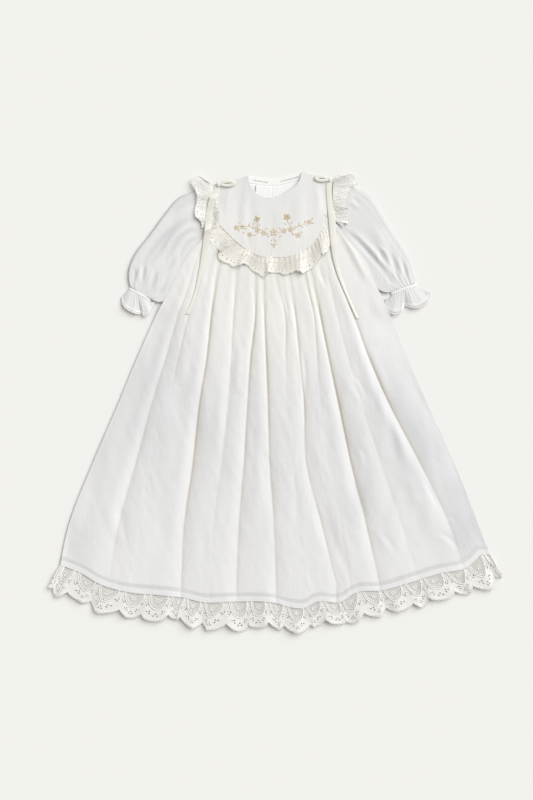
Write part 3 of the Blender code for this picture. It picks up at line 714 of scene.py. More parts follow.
def crush(graph: Graph, given: dict) -> dict:
    """Fine crushed wrinkles: ridged noise over places that broader noise has shifted, long down the cloth.

    Args:
        graph: the group's inside.
        given: its inputs.

    Returns:
        Its outputs.
    """
    scale = graph.math("DIVIDE", 1.0, given["Size"])
    long = graph.vector("MULTIPLY", {0: given["Vector"], 1: (1.0, 0.45, 1.0)})
    broad = {"Vector": long, "Scale": graph.math("MULTIPLY", scale, 0.5), "Detail": 1.0}
    cloud = graph.node("TexNoise", broad).outputs["Color"]
    shift = {0: cloud, "Scale": graph.math("MULTIPLY", 0.9, given["Size"])}
    place = graph.vector("ADD", {0: long, 1: graph.vector("SCALE", shift)})
    rough = graph.node("TexNoise", {"Vector": place, "Scale": scale, "Detail": 3.0, "Roughness": 0.55})
    fold = graph.math("ABSOLUTE", graph.math("SUBTRACT", rough.outputs["Fac"], 0.5))
    return {"Height": graph.math("SUBTRACT", 1.0, graph.math("MULTIPLY", fold, 4.0))}


def warmth(graph: Graph, given: dict) -> dict:
    """A mask that goes softly from 0 to 1 between two heights of Object Y, broken up by broad noise.

    Args:
        graph: the group's inside.
        given: its inputs.

    Returns:
        Its outputs.
    """
    axes = graph.node("SeparateXYZ", {0: given["Vector"]}).outputs
    cloud = graph.node("TexNoise", {"Vector": given["Vector"], "Scale": 9.0, "Detail": 2.0})
    shift = graph.math("MULTIPLY", graph.math("SUBTRACT", cloud.outputs["Fac"], 0.5), 0.16)
    side = graph.math("MULTIPLY", graph.math("ABSOLUTE", graph.math("ADD", axes[0], 0.01)), 0.9)
    place = graph.math("SUBTRACT", graph.math("ADD", axes[1], shift), side)
    return {"Mask": graph.span(place, given["Low"], given["High"], interpolation_type="SMOOTHSTEP")}


WEAVE = Pattern("plain weave", ("Vector", "Pitch"), ("Height",), weave)
NET = Pattern("lace net", ("Vector", "Cell", "Thread", "Closeness"), ("Cover", "Height"), net)
CRUSH = Pattern("crushed cloth", ("Vector", "Size"), ("Height",), crush)
WARMTH = Pattern("warm to cool", ("Vector", "Low", "High"), ("Mask",), warmth)


# Finishes


@dataclass(frozen=True)
class Finish:
    """What a piece is made of. Colours are the 0 to 255 numbers of a picture."""

    name: str

    def shader(self, graph: Graph, place: dict) -> dict:
        """What goes into the shader's inputs, by the graph's nodes on the texture places."""
        raise NotImplementedError

    def material(self) -> bpy.types.Material:
        """The material, made the first time that it is asked for."""
        if self.name not in bpy.data.materials:
            material = bpy.data.materials.new(self.name)
            material.use_nodes = True
            graph = Graph(material.node_tree)
            inputs = self.shader(graph, graph.node("TexCoord").outputs)
            graph.fill(material.node_tree.nodes["Principled BSDF"], inputs)
        return bpy.data.materials[self.name]


@dataclass(frozen=True)
class ClothFinish(Finish):
    """Woven cloth, from a cool colour low down to a warm one high up, with weave and crushed wrinkles.

    A share painted on it darkens its colour to a painted shade, and "valley" to a fold's painted warm shade.
    """

    cool: tuple[int, int, int]
    warm: tuple[int, int, int]
    warm_from: float = -0.05
    warm_to: float = 0.22
    roughness: float = 0.86
    sheen: float = 0.15
    weave_pitch: float = 0.55 * MM
    weave_depth: float = 0.03 * MM
    crush_size: float = 6 * MM
    crush_depth: float = 0.14 * MM
    alpha: float = 1.0
    # Colours of painted shade: a warm one for the valleys of folds, and a grey one
    shade: tuple[int, int, int] = (207, 199, 184)
    thin: tuple[int, int, int] = (212, 212, 214)

    def shader(self, graph: Graph, place: dict) -> dict:
        """Crushed wrinkles on Object coordinates over a weave on the uv map, under the mixed colours.

        Args:
            graph: the material's nodes.
            place: the texture places.

        Returns:
            The shader's inputs.
        """
        mask = WARMTH.on(graph, place["Object"], self.warm_from, self.warm_to)["Mask"]
        colour = graph.mix(mask, linear(self.cool), linear(self.warm))
        # Painted grey shade, in patches, beside folds and on the sleeves
        colour = graph.mix(graph.attribute("thin"), colour, linear(self.thin))
        # Painted warm shade in the valleys of the folds
        colour = graph.mix(graph.attribute("valley"), colour, linear(self.shade))
        fine = graph.bump(WEAVE.on(graph, place["UV"], self.weave_pitch)["Height"], self.weave_depth)
        wrinkles = CRUSH.on(graph, place["Object"], self.crush_size)["Height"]
        return {"Base Color": colour, "Normal": graph.bump(wrinkles, self.crush_depth, Normal=fine),
                "Roughness": self.roughness, "Sheen Weight": self.sheen, "Specular IOR Level": 0.25,
                "Alpha": self.alpha}


@dataclass(frozen=True)
class NetFinish(Finish):
    """Lace ground: a net clear between its threads, closer where "closeness" is high, painted shade where open."""

    colour: tuple[int, int, int]
    # Painted shade of the net where it is open
    open_net_shade: tuple[int, int, int]
    cell: float = 1.5 * MM
    thread: float = 0.09
    clear: float = 0.5

    def shader(self, graph: Graph, place: dict) -> dict:
        """Cover is 1 on the threads, and between them goes from clear to 1 with the closeness.

        Args:
            graph: the material's nodes.
            place: the texture places.

        Returns:
            The shader's inputs.
        """
        close = graph.attribute("closeness")
        ground = NET.on(graph, place["UV"], self.cell, self.thread, close)
        between = graph.span(close, 0.0, 1.0, self.clear, 1.0)
        # Painted shade: the colour goes from the open net's painted shade to the net's own colour as the closeness
        # rises
        return {"Base Color": graph.mix(close, linear(self.open_net_shade), linear(self.colour)),
                "Alpha": graph.span(ground["Cover"], 0.0, 1.0, between, 1.0),
                "Normal": graph.bump(ground["Height"], 0.08 * MM),
                "Roughness": 0.85, "Specular IOR Level": 0.2}


@dataclass(frozen=True)
class ThreadFinish(Finish):
    """Thread, cord or ribbon: one colour with a soft sheen and fine ridges across the first uv direction."""

    colour: tuple[int, int, int]
    roughness: float = 0.7
    sheen: float = 0.2
    specular: float = 0.3
    ridge_pitch: float = 0.5 * MM
    ridge_depth: float = 0.08 * MM
    anisotropic: float = 0.0

    def shader(self, graph: Graph, place: dict) -> dict:
        """A sine of the first uv, whose period is the pitch, raises the ridges.

        Args:
            graph: the material's nodes.
            place: the texture places.

        Returns:
            The shader's inputs.
        """
        along = graph.node("SeparateXYZ", {0: place["UV"]}).outputs[0]
        ridge = graph.math("SINE", graph.math("MULTIPLY", along, FULL_TURN / self.ridge_pitch))
        return {"Base Color": linear(self.colour), "Normal": graph.bump(ridge, self.ridge_depth),
                "Roughness": self.roughness, "Sheen Weight": self.sheen, "Specular IOR Level": self.specular,
                "Anisotropic": self.anisotropic}


BATISTE = ClothFinish("cotton batiste", (230, 229, 229), (236, 234, 230), warm_from=-0.12)
YOKE_BATISTE = ClothFinish("cotton batiste, yoke", (232, 230, 227), (226, 225, 223), warm_from=0.235,
                           warm_to=0.295, weave_depth=0.02 * MM, crush_size=7 * MM)
BACK_BATISTE = ClothFinish("cotton batiste, inside", (244, 243, 241), (244, 243, 241), crush_depth=0.12 * MM)
SHEER_HEM = ClothFinish("cotton batiste, single layer at the hem", (214, 213, 213), (214, 213, 213))
ORGANZA = ClothFinish("sheer organza", (240, 239, 239), (240, 239, 239), roughness=0.7, sheen=0.25,
                      weave_pitch=0.8 * MM, crush_size=9 * MM, crush_depth=0.2 * MM, alpha=0.84)
ORGANZA_GATHERED = ClothFinish("gathered organza", (241, 241, 242), (241, 241, 242), roughness=0.7,
                               crush_size=4 * MM, crush_depth=0.2 * MM)
WHITE_NET = NetFinish("white lace net", (234, 232, 229), (221, 217, 211))
CLOSE_NET = NetFinish("white lace, close ground", (250, 249, 246), (226, 223, 217), 1.0 * MM, 0.14, 0.8)
CREAM_NET = NetFinish("cream lace net", (245, 242, 235), (222, 216, 205), 1.1 * MM, 0.16, 0.85)
WHITE_CORD = ThreadFinish("white lace cord", (254, 253, 251))
CREAM_CORD = ThreadFinish("cream lace cord", (252, 248, 241))
CREAM_SATIN = ThreadFinish("cream satin", (229, 226, 217), 0.42, 0.1, 0.45, 0.45 * MM, 0.008 * MM, 0.4)
TAN_THREAD = ThreadFinish("tan embroidery thread", (227, 212, 188), roughness=0.6)
BROWN_THREAD = ThreadFinish("brown embroidery thread", (211, 191, 162), roughness=0.6)
WHITE_THREAD = ThreadFinish("white sewing thread", (242, 242, 240))


def dress(piece: bpy.types.Object, finish: Finish, slot: str, *nodes: str) -> bpy.types.Object:
    """Gives a piece its finish, its place on the body, its slot and the plain solids that it stands for.

    Args:
        piece: the object.
        finish: what it is made of.
        slot: the record's material slot.
        nodes: the plain solids that it replaces.

    Returns:
        The piece.
    """
    piece.data.materials.append(finish.material())
    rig.ride(piece, BODY)
    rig.slot(piece, slot)
    if nodes:
        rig.replaces(piece, *nodes)
    log.info("%s: %d faces, %s", piece.name, len(piece.data.polygons), finish.name)
    return piece


def paint(piece: bpy.types.Object, label: str, painted: Array) -> bpy.types.Object:
    """Gives each of the piece's points a share, in their order, for its finish to read by a label.

    Args:
        piece: the piece.
        label: the attribute's name.
        painted: a share a point.

    Returns:
        The piece.
    """
    attribute = piece.data.attributes.new(label, "FLOAT", "POINT")
    attribute.data.foreach_set("value", np.ascontiguousarray(painted, dtype=np.float32).ravel())
    return piece


def as_sheet(piece: bpy.types.Object, flat_size: tuple[float, float], area: float, held: Held,
             rests_on: tuple[str, ...] = (), sewn_on: tuple[bpy.types.Object, ...] = ()) -> None:
    """States the cut of a piece of cloth.

    Args:
        piece: the cloth.
        flat_size: flat width and length.
        area: flat area, kept between 0.31 of width times length and all of it.
        held: how it lies.
        rests_on: names of what it lies on.
        sewn_on: the pieces sewn onto it.
    """
    whole = flat_size[0] * flat_size[1]
    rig.sheet(piece, flat=flat_size, held=held.value, rests_on=list(rests_on),
             area=float(np.clip(area, 0.31 * whole, whole)), with_pieces=list(sewn_on))


# The skirt


@dataclass(frozen=True)
class Pleat:
    """A fold line down the skirt: its seam height, its x at the stations, its depth high, midway and low.

    The spread says how much wider than usual the valley on the line's right is, and the crispness how
    deep the narrow groove along the line.
    """

    seam_y: float
    x: tuple[float, ...]
    high: float
    middle: float
    low: float
    spread: float = 1.0
    crisp: float = 1.0


# From the left side of the skirt to the right one
PLEATS = (
    Pleat(316, (-114, -124, -146, -173, -200, -234, -265, -308, -347, -368), 0, 0, 0),
    Pleat(311, (-108, -117, -131, -146, -164, -186, -209, -236, -264, -280), 2.5, 7.5, 2.5, 1.9, 0.3),
    Pleat(304, (-102, -112, -125, -133, -147, -165, -180, -205, -228, -245), 3.5, 0, 0, 1.0, 0.6),
    Pleat(291, (-92, -92.5, -94, -103, -110, -118, -130, -141, -155, -160), 4.0, 9.0, 4.0),
    Pleat(265, (-64, -64.5, -65, -69, -73, -77, -82, -93, -106, -111), 3.5, 2.2, 0.4, 1.3, 0.6),
    Pleat(249, (-40, -39, -39, -38, -37, -45, -50, -56, -64, -68), 2.5, 4.5, 3.2),
    Pleat(243, (-25, -25, -25, -23, -22, -19, -16, -13, -6, -2), 4.0, 6.0, 3.4),
    Pleat(242, (-9, -8, -8, 0, 12, 14, 16, 24, 36, 48), 3.0, 0, 0),
    Pleat(243, (14, 15, 15, 22, 29, 37, 44, 48, 73, 98), 4.0, 4.5, 3.4),
    Pleat(249, (36, 39, 40, 48, 60, 66, 72, 84, 106, 121), 2.5, 0, 0.6),
    Pleat(256, (46, 48, 49, 60, 70, 85, 101, 122, 147, 170), 4.0, 8.5, 4.6, 1.3),
    Pleat(271, (58, 63, 67, 86, 98, 118, 140, 172, 206, 236), 2.0, 1.5, 2.0, 2.5, 0.2),
    Pleat(300, (78, 86, 90, 106, 125, 152, 185, 237, 285, 318), 3.0, 9.5, 2.4, 1.5, 0.5),
    Pleat(316, (84, 114, 136, 162, 186, 218, 250, 295, 334, 372), 0, 0, 0),
)
# Y of each x of a fold line, and of its three depths
PLEAT_STATIONS = (320, 275, 250, 200, 150, 75, 0, -100, -200, -300)
PLEAT_DEPTH_STATIONS = (200, 0, -250)
# X and y along the hem, and along the tips of the lace's scallops
HEM_LINE = (
    (-362, -272), (-325, -286), (-300, -300), (-250, -315), (-200, -320), (-155, -325), (-125, -332),
    (-75, -331), (-5, -333), (25, -341), (46, -341), (62, -332), (108, -330), (126, -318), (175, -312),
    (225, -298), (275, -284), (325, -273), (355, -253),
)
LACE_TIPS = (
    (-384, -306), (-367, -321), (-332, -330), (-294, -348), (-248, -357), (-205, -362), (-170, -360),
    (-146, -373), (-110, -377), (-65, -379), (-30, -373), (0, -377), (35, -382), (66, -372), (100, -367),
    (130, -366), (168, -354), (205, -346), (242, -339), (275, -326), (318, -318), (352, -309), (379, -288),
)


@dataclass(frozen=True)
class SkirtForm:
    """The shape of the front skirt: heights over the surface that the gown lies on."""

    waist_y: float = 262 * MM
    length: float = 590 * MM
    seam_gap: float = 0.5 * MM
    floor: float = 2.7 * MM
    rim: float = 2.9 * MM
    rim_on_sleeve: float = 6.3 * MM
    sleeve_top_y: float = 164 * MM
    sleeve_end_y: float = 130 * MM
    rise_width: float = 45 * MM
    rise_power: float = 1.3
    shift: float = 0.5 * MM
    valley_share: float = 0.19
    valley_share_low: float = 0.50
    groove_share: float = 0.34
    groove_share_low: float = 0.12
    groove_width: float = 2.1 * MM
    soften_from: float = 150 * MM
    soften_to: float = -170 * MM
    left_width: float = 4.5 * MM
    left_spread: float = 0.010
    left_power: float = 1.5
    right_width: float = 8.5 * MM
    right_spread: float = 0.035
    right_power: float = 1.15
    ridge_share: float = 0.2
    ridge_away: float = 6 * MM
    ridge_width: float = 5 * MM
    ridge_spread: float = 0.025
    uneven_depth: float = 0.35
    uneven_size: float = 70 * MM
    full_depth: float = 8 * MM
    tone_power: float = 0.7
    # Painted warm shade right of each fold line
    shade_shift: float = 1.3 * MM
    shade_width: float = 2.6 * MM
    shade_spread: float = 0.012
    shade_power: float = 1.3
    shade_left: float = 0.4
    # Painted grey shade that fades over the panel right of each fold
    painted_panel_shade_width: float = 6 * MM
    painted_panel_shade_spread: float = 0.055
    painted_panel_shade_share: float = 0.62
    spread_y: float = 250 * MM
    start_share: float = 0.03
    start_depth: float = 0.7
    gather_height: float = 0.2 * MM
    gather_reach: float = 0.05
    gathers_per_fold: float = 1.5
    crest_down: tuple[float, ...] = (0.0, 0.08, 0.20, 0.45, 0.75, 1.0)
    crest_height: tuple[float, ...] = (4.8, 6.0, 8.6, 11.0, 9.6, 7.0)

    def lines(self, y: Array) -> Array:
        """X of every fold line at heights y, one line a row."""
        stations = np.array(PLEAT_STATIONS[::-1]) * MM
        return np.stack([smooth(y, stations, np.array(line.x[::-1]) * MM) for line in PLEATS])

    def across(self, place: Array, y: Array) -> Array:
        """X at height y of the line at a place counted in fold lines, between its two neighbours.

        Args:
            place: places, counted in fold lines.
            y: their heights.

        Returns:
            X of each.
        """
        lines = self.lines(y)
        low = np.clip(np.floor(place).astype(int), 0, len(PLEATS) - 2)
        x_low, x_high = (np.take_along_axis(lines, number[None], axis=0)[0] for number in (low, low + 1))
        return x_low + (x_high - x_low) * (place - low)

    def seam(self, place: Array) -> tuple[Array, Array]:
        """X and y of the yoke's seam at a place counted in fold lines."""
        y = smooth(place, np.arange(len(PLEATS)), [line.seam_y * MM for line in PLEATS])
        return self.across(place, y), y

    def hem(self, x: Array) -> Array:
        """Y of the hem under x."""
        return smooth(x, *(np.array(HEM_LINE).T * MM))

    def inside(self, x: Array, y: Array) -> Array:
        """Way in from the nearer side of the skirt."""
        lines = self.lines(y)
        return np.clip(np.minimum(x - lines[0], lines[-1] - x), 0, None)

    def on_sleeve(self, y: Array) -> Array:
        """From 0 at the sleeves' lower end to 1 where the skirt's sides lie on them, and on past both."""
        return (y - self.sleeve_end_y) / (self.sleeve_top_y - self.sleeve_end_y)

    def way_down(self, y: Array) -> Array:
        """Way down from where the folds start to widen."""
        return np.clip(self.spread_y - y, 0, None)

    def softness(self, y: Array) -> Array:
        """From 0 where the folds are crisp, high up, to 1 where they are soft."""
        return ease((self.soften_from - y) / (self.soften_from - self.soften_to))

    def folds(self, x: Array, y: Array) -> Iterator[tuple[Pleat, Array, Array]]:
        """Each fold line, with the way off it and its depth.

        The depth goes through the line's three depths, with a slow change of its own.

        Args:
            x: places along X.
            y: places along Y.

        Yields:
            The line, the way off it, above 0 on its right, and its depth at each place.
        """
        stations = np.array(PLEAT_DEPTH_STATIONS[::-1]) * MM
        for number, (line, line_x) in enumerate(zip(PLEATS, self.lines(y))):
            depth = np.interp(y, stations, np.array((line.low, line.middle, line.high)) * MM)
            yield line, x - line_x, depth * (1 + self.uneven_depth * wander(y, self.uneven_size, 31, number))

    def height(self, x: Array, y: Array, down: Array) -> Array:
        """Height of the skirt's upper face: a crowned sheet with a valley at each fold line.

        The crown is rim + (crest - rim) (1 - bell(way in from the side / rise width)). A valley's depth is
        its share times a bell of the way off the line, narrow on the left and wide on the right, with a
        narrow groove in it. A low ridge lies left of it. All but the groove widen down the skirt.

        Args:
            x: places along X.
            y: places along Y.
            down: share of the way from the yoke's seam to the hem.

        Returns:
            The heights.
        """
        on_sleeve, spread, soft = self.on_sleeve(y), self.way_down(y), self.softness(y)
        rim = self.rim + (self.rim_on_sleeve - self.rim) * ease(on_sleeve)
        crest = smooth(down, self.crest_down, np.array(self.crest_height) * MM)
        rise = 1 - bell(self.inside(x, y) / self.rise_width, self.rise_power)
        height = rim + np.clip(crest - rim, 0, None) * rise
        opening = np.clip(down / self.start_share, self.start_depth, 1)
        valley_share = self.valley_share * (1 - soft) + self.valley_share_low * soft
        groove_share = self.groove_share * (1 - soft) + self.groove_share_low * soft
        for line, away, depth in self.folds(x, y):
            away = away + self.shift
            ridge = bell((away + self.ridge_away + self.ridge_spread * spread)
                         / (self.ridge_width + self.ridge_spread * spread))
            groove = line.crisp * bell(away / self.groove_width)
            height = height + depth * opening * (self.ridge_share * ridge - groove_share * groove
                                                 - valley_share * self.valley(line, away, y))
        low = self.floor + np.clip(on_sleeve, 0, 1) * (self.rim_on_sleeve - self.floor)
        return np.maximum(height, np.minimum(rim, low))

    def valley(self, line: Pleat, away: Array, y: Array) -> Array:
        """Cross-section of a valley from 1 at the line to 0, by the way off the line.

        Args:
            line: the fold line.
            away: the way off it.
            y: places along Y.

        Returns:
            The section's share at each place.
        """
        spread = self.way_down(y)
        left = np.clip(-away, 0, None) / (self.left_width + self.left_spread * spread)
        right = np.clip(away, 0, None) / ((self.right_width + self.right_spread * spread) * line.spread)
        return bell(left, self.left_power) * bell(right, self.right_power)

    def shade(self, x: Array, y: Array) -> Array:
        """Share of painted warm shade: the strongest of the bells right of the lines, by the folds' depths.

        Args:
            x: places along X.
            y: places along Y.

        Returns:
            The share at each place.
        """
        share = np.zeros_like(x)
        width = self.shade_width + self.shade_spread * self.way_down(y)
        for line, away, depth in self.folds(x, y):
            away = away - self.shade_shift
            core = bell(away / np.where(away < 0, self.shade_left * width, width), self.shade_power)
            fade = (0.3 + 0.7 * line.crisp) * (1 - 0.4 * self.softness(y))
            share = np.maximum(share, fade * (depth / self.full_depth) ** self.tone_power * core)
        return np.clip(share, 0, 1)

    def single(self, x: Array, y: Array) -> Array:
        """Share of painted shade: most just right of a fold, fading over the panel, and none high up.

        Args:
            x: places along X.
            y: places along Y.

        Returns:
            The share at each place.
        """
        share = np.zeros_like(x)
        width = self.painted_panel_shade_width + self.painted_panel_shade_spread * self.way_down(y)
        for _, away, depth in self.folds(x, y):
            core = ease((away + 1 * MM) / (3 * MM)) * bell(np.clip(away, 0, None) / width, 1)
            share = np.maximum(share, (depth / self.full_depth) ** self.tone_power * core)
        reach = ease((self.soften_from - y) / (180 * MM)) * ease((y + 300 * MM) / (110 * MM))
        return self.painted_panel_shade_share * reach * share

    def points(self, places: Array, downs: Array) -> Array:
        """Grid of points on the skirt's upper face, from the yoke's seam (0) to the hem (1).

        Args:
            places: columns, counted in fold lines.
            downs: rows, as shares of the way down.

        Returns:
            Rows x columns x 3 points.
        """
        place, down = np.meshgrid(places, downs)
        _, top_y = self.seam(place)
        bottom_y = self.hem(self.across(place, np.full_like(place, PLEAT_STATIONS[-1] * MM)))
        y = (top_y - self.seam_gap) * (1 - down) + bottom_y * down
        x = self.across(place, y)
        gathers = bell(down / self.gather_reach, 1) * np.sin(FULL_TURN * self.gathers_per_fold * place)
        return np.stack([x, y, self.height(x, y, down) + self.gather_height * gathers], axis=-1)


# Crease tables: x and y of the start and of the end, bend, width and depth
SKIRT_CREASES = (
    (-154, 51, -186, -22, 2, 13, 1.4), (-186, -22, -222, -118, -3, 14, 1.5),
    (-172, 128, -204, 55, 2, 10, -1.2), (-148, 100, -160, 30, 1, 7, -0.8),
    (-300, -120, -330, -215, -4, 12, 1.1), (-276, -160, -262, -232, 5, 9, -1.2),
    (-262, -172, -248, -236, 3, 5, 0.9), (-231, -150, -240, -250, 3, 16, -1.1),
    (-196, -170, -190, -262, -2, 12, 0.9), (-62, 100, -67, 12, 2, 6, -1.6), (-90, 60, -98, -90, 3, 9, -1.2),
    (-76, 40, -88, -70, 2, 6, 0.9), (-88, -120, -100, -230, 4, 10, -0.9),
    (-120, -200, -118, -290, 3, 8, 0.8), (-44, -30, -40, -110, -3, 5, 0.8),
    (-36, -80, -30, -160, -2, 6, -0.9), (-20, -140, -26, -240, 3, 7, 0.7), (6, -60, 4, -190, 2, 10, -0.8),
    (22, -90, 34, -220, -3, 6, 0.8), (42, 88, 46, 10, -2, 4, 1.6), (36, 92, 41, -4, -2, 3.5, -1.2),
    (10, 190, 24, 140, 2, 3.5, 1.2), (20, 170, 30, 120, 3, 3, -0.7), (62, -40, 92, -160, 4, 10, -1.1),
    (74, -150, 110, -270, 5, 9, 1.0), (100, -180, 128, -280, 4, 8, -0.9),
    (118, -120, 150, -210, -4, 6, 1.3), (124, 51, 150, 1, -4, 3.5, 0.8), (112, 36, 142, -16, -3, 5, -0.6),
    (132, -70, 147, -106, -5, 3, 1.0), (160, -120, 176, -190, 4, 9, -1.0),
    (171, -217, 196, -250, -3, 3, 1.3), (158, -205, 180, -244, -2, 4, -0.6),
    (150, 96, 186, -6, -4, 6, -1.3), (186, -6, 214, -118, -5, 7, -1.4), (214, -118, 232, -182, -2, 8, -1.4),
    (176, 20, 196, -98, -4, 9, 1.5), (241, -124, 268, -180, -2, 3, 1.4), (252, -90, 266, -108, -6, 3, 0.8),
    (266, -214, 300, -243, -4, 3.5, 1.5), (280, -190, 296, -200, -5, 3, 0.7),
    (246, -150, 262, -236, 4, 12, -1.0), (288, -60, 320, -160, 4, 10, 1.0), (216, 60, 262, -30, 3, 10, 0.9),
    (150, 200, 190, 120, 2, 7, -0.7), (70, 232, 78, 200, 2, 3.5, 1.2), (76, 214, 84, 190, 3, 3, 0.9),
    (104, 292, 153, 196, 0, 4.5, -2.2), (-118, 226, -136, 178, -2, 4, -0.8),
    (-152, 206, -172, 150, -2, 6, -0.8),
)
# Middle x and y, half width, half length and strength of the patches of painted shade
PAINTED_SHADE_PLACES = (
    (0, -50, 330, 150, 0.1), (-210, 10, 50, 90, 0.5), (-174, 100, 11, 50, 0.5), (-196, 30, 11, 45, 0.5),
    (-129, -20, 11, 60, 0.5), (-62, 45, 13, 50, 0.3), (-296, -85, 15, 50, 0.4), (-330, -225, 24, 40, 0.5),
    (205, -30, 40, 90, 0.45), (171, 30, 13, 40, 0.35), (237, -100, 17, 60, 0.6), (137, -165, 17, 40, 0.6),
    (108, -30, 10, 90, 0.3), (271, -72, 13, 40, 0.45), (300, -165, 24, 60, 0.8), (330, -225, 40, 50, 0.6),
)
# Y and depth of the lines that folding away has pressed across the skirt
PRESSED_LINES = ((14, 0.22), (-10, 0.16), (-76, 0.12), (-149, 0.2))


@dataclass
class Skirt:
    """The front skirt with its pleats and creases, and the hem band with its two stripes."""

    form: SkirtForm
    columns_per_fold: int = 22
    top_rows: int = 12
    rows: int = 150
    band_share: float = 0.972
    tuck: float = 0.004
    band_rows: int = 12
    sheer_rows: int = 5
    band_columns_per_fold: int = 16
    band_lift: float = 0.26 * MM
    band_fold: float = 0.3 * MM
    thickness: float = 0.5 * MM
    pressed_width: float = 1.3 * MM
    crease_share: float = 0.9
    # Height in mm, lean, size across and down in mm and seed of each layer of unevenness
    unevenness: Rows = (
        (0.9, 0.2, 40, 120, 1), (0.32, -0.25, 16, 50, 2), (0.22, 0.35, 9, 30, 3), (0.16, 0.1, 5, 16, 4),
        (0.12, -0.6, 6, 7, 5),
    )

    def places(self, per_fold: int) -> Array:
        """Columns close together beside each fold line: a fold's share s is bent to s - sin(2 pi s) / 9.

        Args:
            per_fold: columns for each fold.

        Returns:
            The columns, counted in fold lines.
        """
        share = np.arange(per_fold) / per_fold
        share = share - np.sin(FULL_TURN * share) / 9
        folds = np.arange(len(PLEATS) - 1)
        return np.append((folds[:, None] + share).ravel(), len(PLEATS) - 1)

    def relief(self, x: Array, y: Array, down: Array) -> Array:
        """Height of creases, pressed lines and broad unevenness, none at the seam and at the sides.

        Args:
            x: places along X.
            y: places along Y.
            down: share of the way down.

        Returns:
            The added height.
        """
        pressed = sum(-depth * MM * bell((y - at * MM) / self.pressed_width) for at, depth in PRESSED_LINES)
        uneven = sum(high * MM * noise(x + lean * y, y, wide * MM, long * MM, seed)
                     for high, lean, wide, long, seed in self.unevenness)
        open_share = ease(down / 0.05) * ease(self.form.inside(x, y) / (8 * MM))
        return (self.crease_share * crease_field(SKIRT_CREASES, x, y) + uneven + pressed) * open_share

    def surface(self, per_fold: int, downs: Array) -> Surface:
        """The skirt's upper face: the form with its relief, at columns for each fold and rows of shares.

        Args:
            per_fold: columns for each fold.
            downs: rows, as shares of the way down.

        Returns:
            The surface.
        """
        points = self.form.points(self.places(per_fold), downs)
        relief = self.relief(points[..., 0], points[..., 1], downs[:, None])
        points[..., 2] = np.maximum(points[..., 2] + relief, self.form.floor - 0.9 * MM)
        return Surface(points)

    def thin(self, x: Array, y: Array) -> Array:
        """Share of painted shade: bells over its patches, and painted shade beside folds.

        Args:
            x: places along X.
            y: places along Y.

        Returns:
            The share at each place.
        """
        share = sum(much * bell((x / MM - at_x) / wide) * bell((y / MM - at_y) / long)
                    for at_x, at_y, wide, long, much in PAINTED_SHADE_PLACES) + self.form.single(x, y)
        return np.clip(share * (1 + 0.35 * noise(x, y, 22 * MM, 60 * MM, 51)), 0, 1)

    def build(self) -> None:
        """Builds the skirt and the hem band, whose folded layer stands proud of the single one above it."""
        start = 0.06
        downs = np.linspace(start, self.band_share + self.tuck, self.rows)
        downs = np.concatenate([np.linspace(0, start, self.top_rows)[:-1], downs])
        face = self.surface(self.columns_per_fold, downs)
        x, y = face.points[..., 0], face.points[..., 1]
        skirt = dress(face.cloth("front_skirt_cloth", self.thickness), BATISTE, "cotton", "front_skirt")
        # Painted shade: warm in the valleys of the folds, grey in patches and beside folds
        paint(paint(skirt, "valley", self.form.shade(x, y)), "thin", self.thin(x, y))
        as_sheet(skirt, (0.86, 0.61), face.area() * 1.02, Held.GATHERED, ("back_skirt_cloth",))

        face = self.surface(self.band_columns_per_fold, np.linspace(self.band_share, 1, self.band_rows))
        folded = ease((shares(self.band_rows)[:, None] - 0.38) / 0.14)
        face.points[..., 2] += self.band_lift + self.band_fold * folded
        band = dress(face.cloth("front_hem_band_cloth", self.thickness), BATISTE, "cotton", "front_hem_band")
        band.data.materials.append(SHEER_HEM.material())
        sheer = np.arange(len(band.data.polygons)) < self.sheer_rows * (face.points.shape[1] - 1)
        band.data.polygons.foreach_set("material_index", sheer.astype(int))
        as_sheet(band, (0.78, 0.035), face.area() * 1.4, Held.FOLDED, ("back_skirt_cloth",))


# Lace


@dataclass(frozen=True)
class LaceStuff:
    """What a lace is made of: its ground, its raised work and the record's material slot."""

    ground: NetFinish
    cord: ThreadFinish
    slot: str


SCALLOP_STUFF = LaceStuff(WHITE_NET, WHITE_CORD, "lace_white")
SHOULDER_STUFF = LaceStuff(CLOSE_NET, WHITE_CORD, "lace_white")
YOKE_STUFF = LaceStuff(CREAM_NET, CREAM_CORD, "lace_cream")


@dataclass(frozen=True)
class Petal:
    """A stitched petal or leaf on both sides of a motif's middle line.

    The place is in repeats off the middle and the down a share; the way is an angle, 0 across and a quarter
    turn down. The right one has the drop and the turn added, and the left one has them taken off. The half
    length, half width and height are in mm, and the point goes from 0 for an oval up to 1 for a leaf.
    """

    place: float
    down: float
    drop: float
    way: float
    turn: float
    long: float
    wide: float
    high: float
    point: float


SCALLOP_LEAVES = (
    Petal(0.15, 0.17, 0, 0, -0.7, 2.6, 1.0, 0.45, 0.6),
    Petal(0.10, 0.42, 0, 0, 1.0, 2.0, 0.8, 0.45, 0.6),
)
SCALLOP_GRAINS = tuple(
    Petal(0.035, down, 0, np.pi / 2, -0.75, 1.8, 0.9, 0.5, 0.4) for down in (0.38, 0.46, 0.54, 0.62)
)
FRILL_LEAVES = (
    Petal(0.27, 0.50, -0.10, 0, 0.6, 2.2, 0.9, 0.45, 0.6),
    Petal(0.33, 0.20, 0.05, 0, -0.9, 1.9, 0.8, 0.4, 0.6),
)


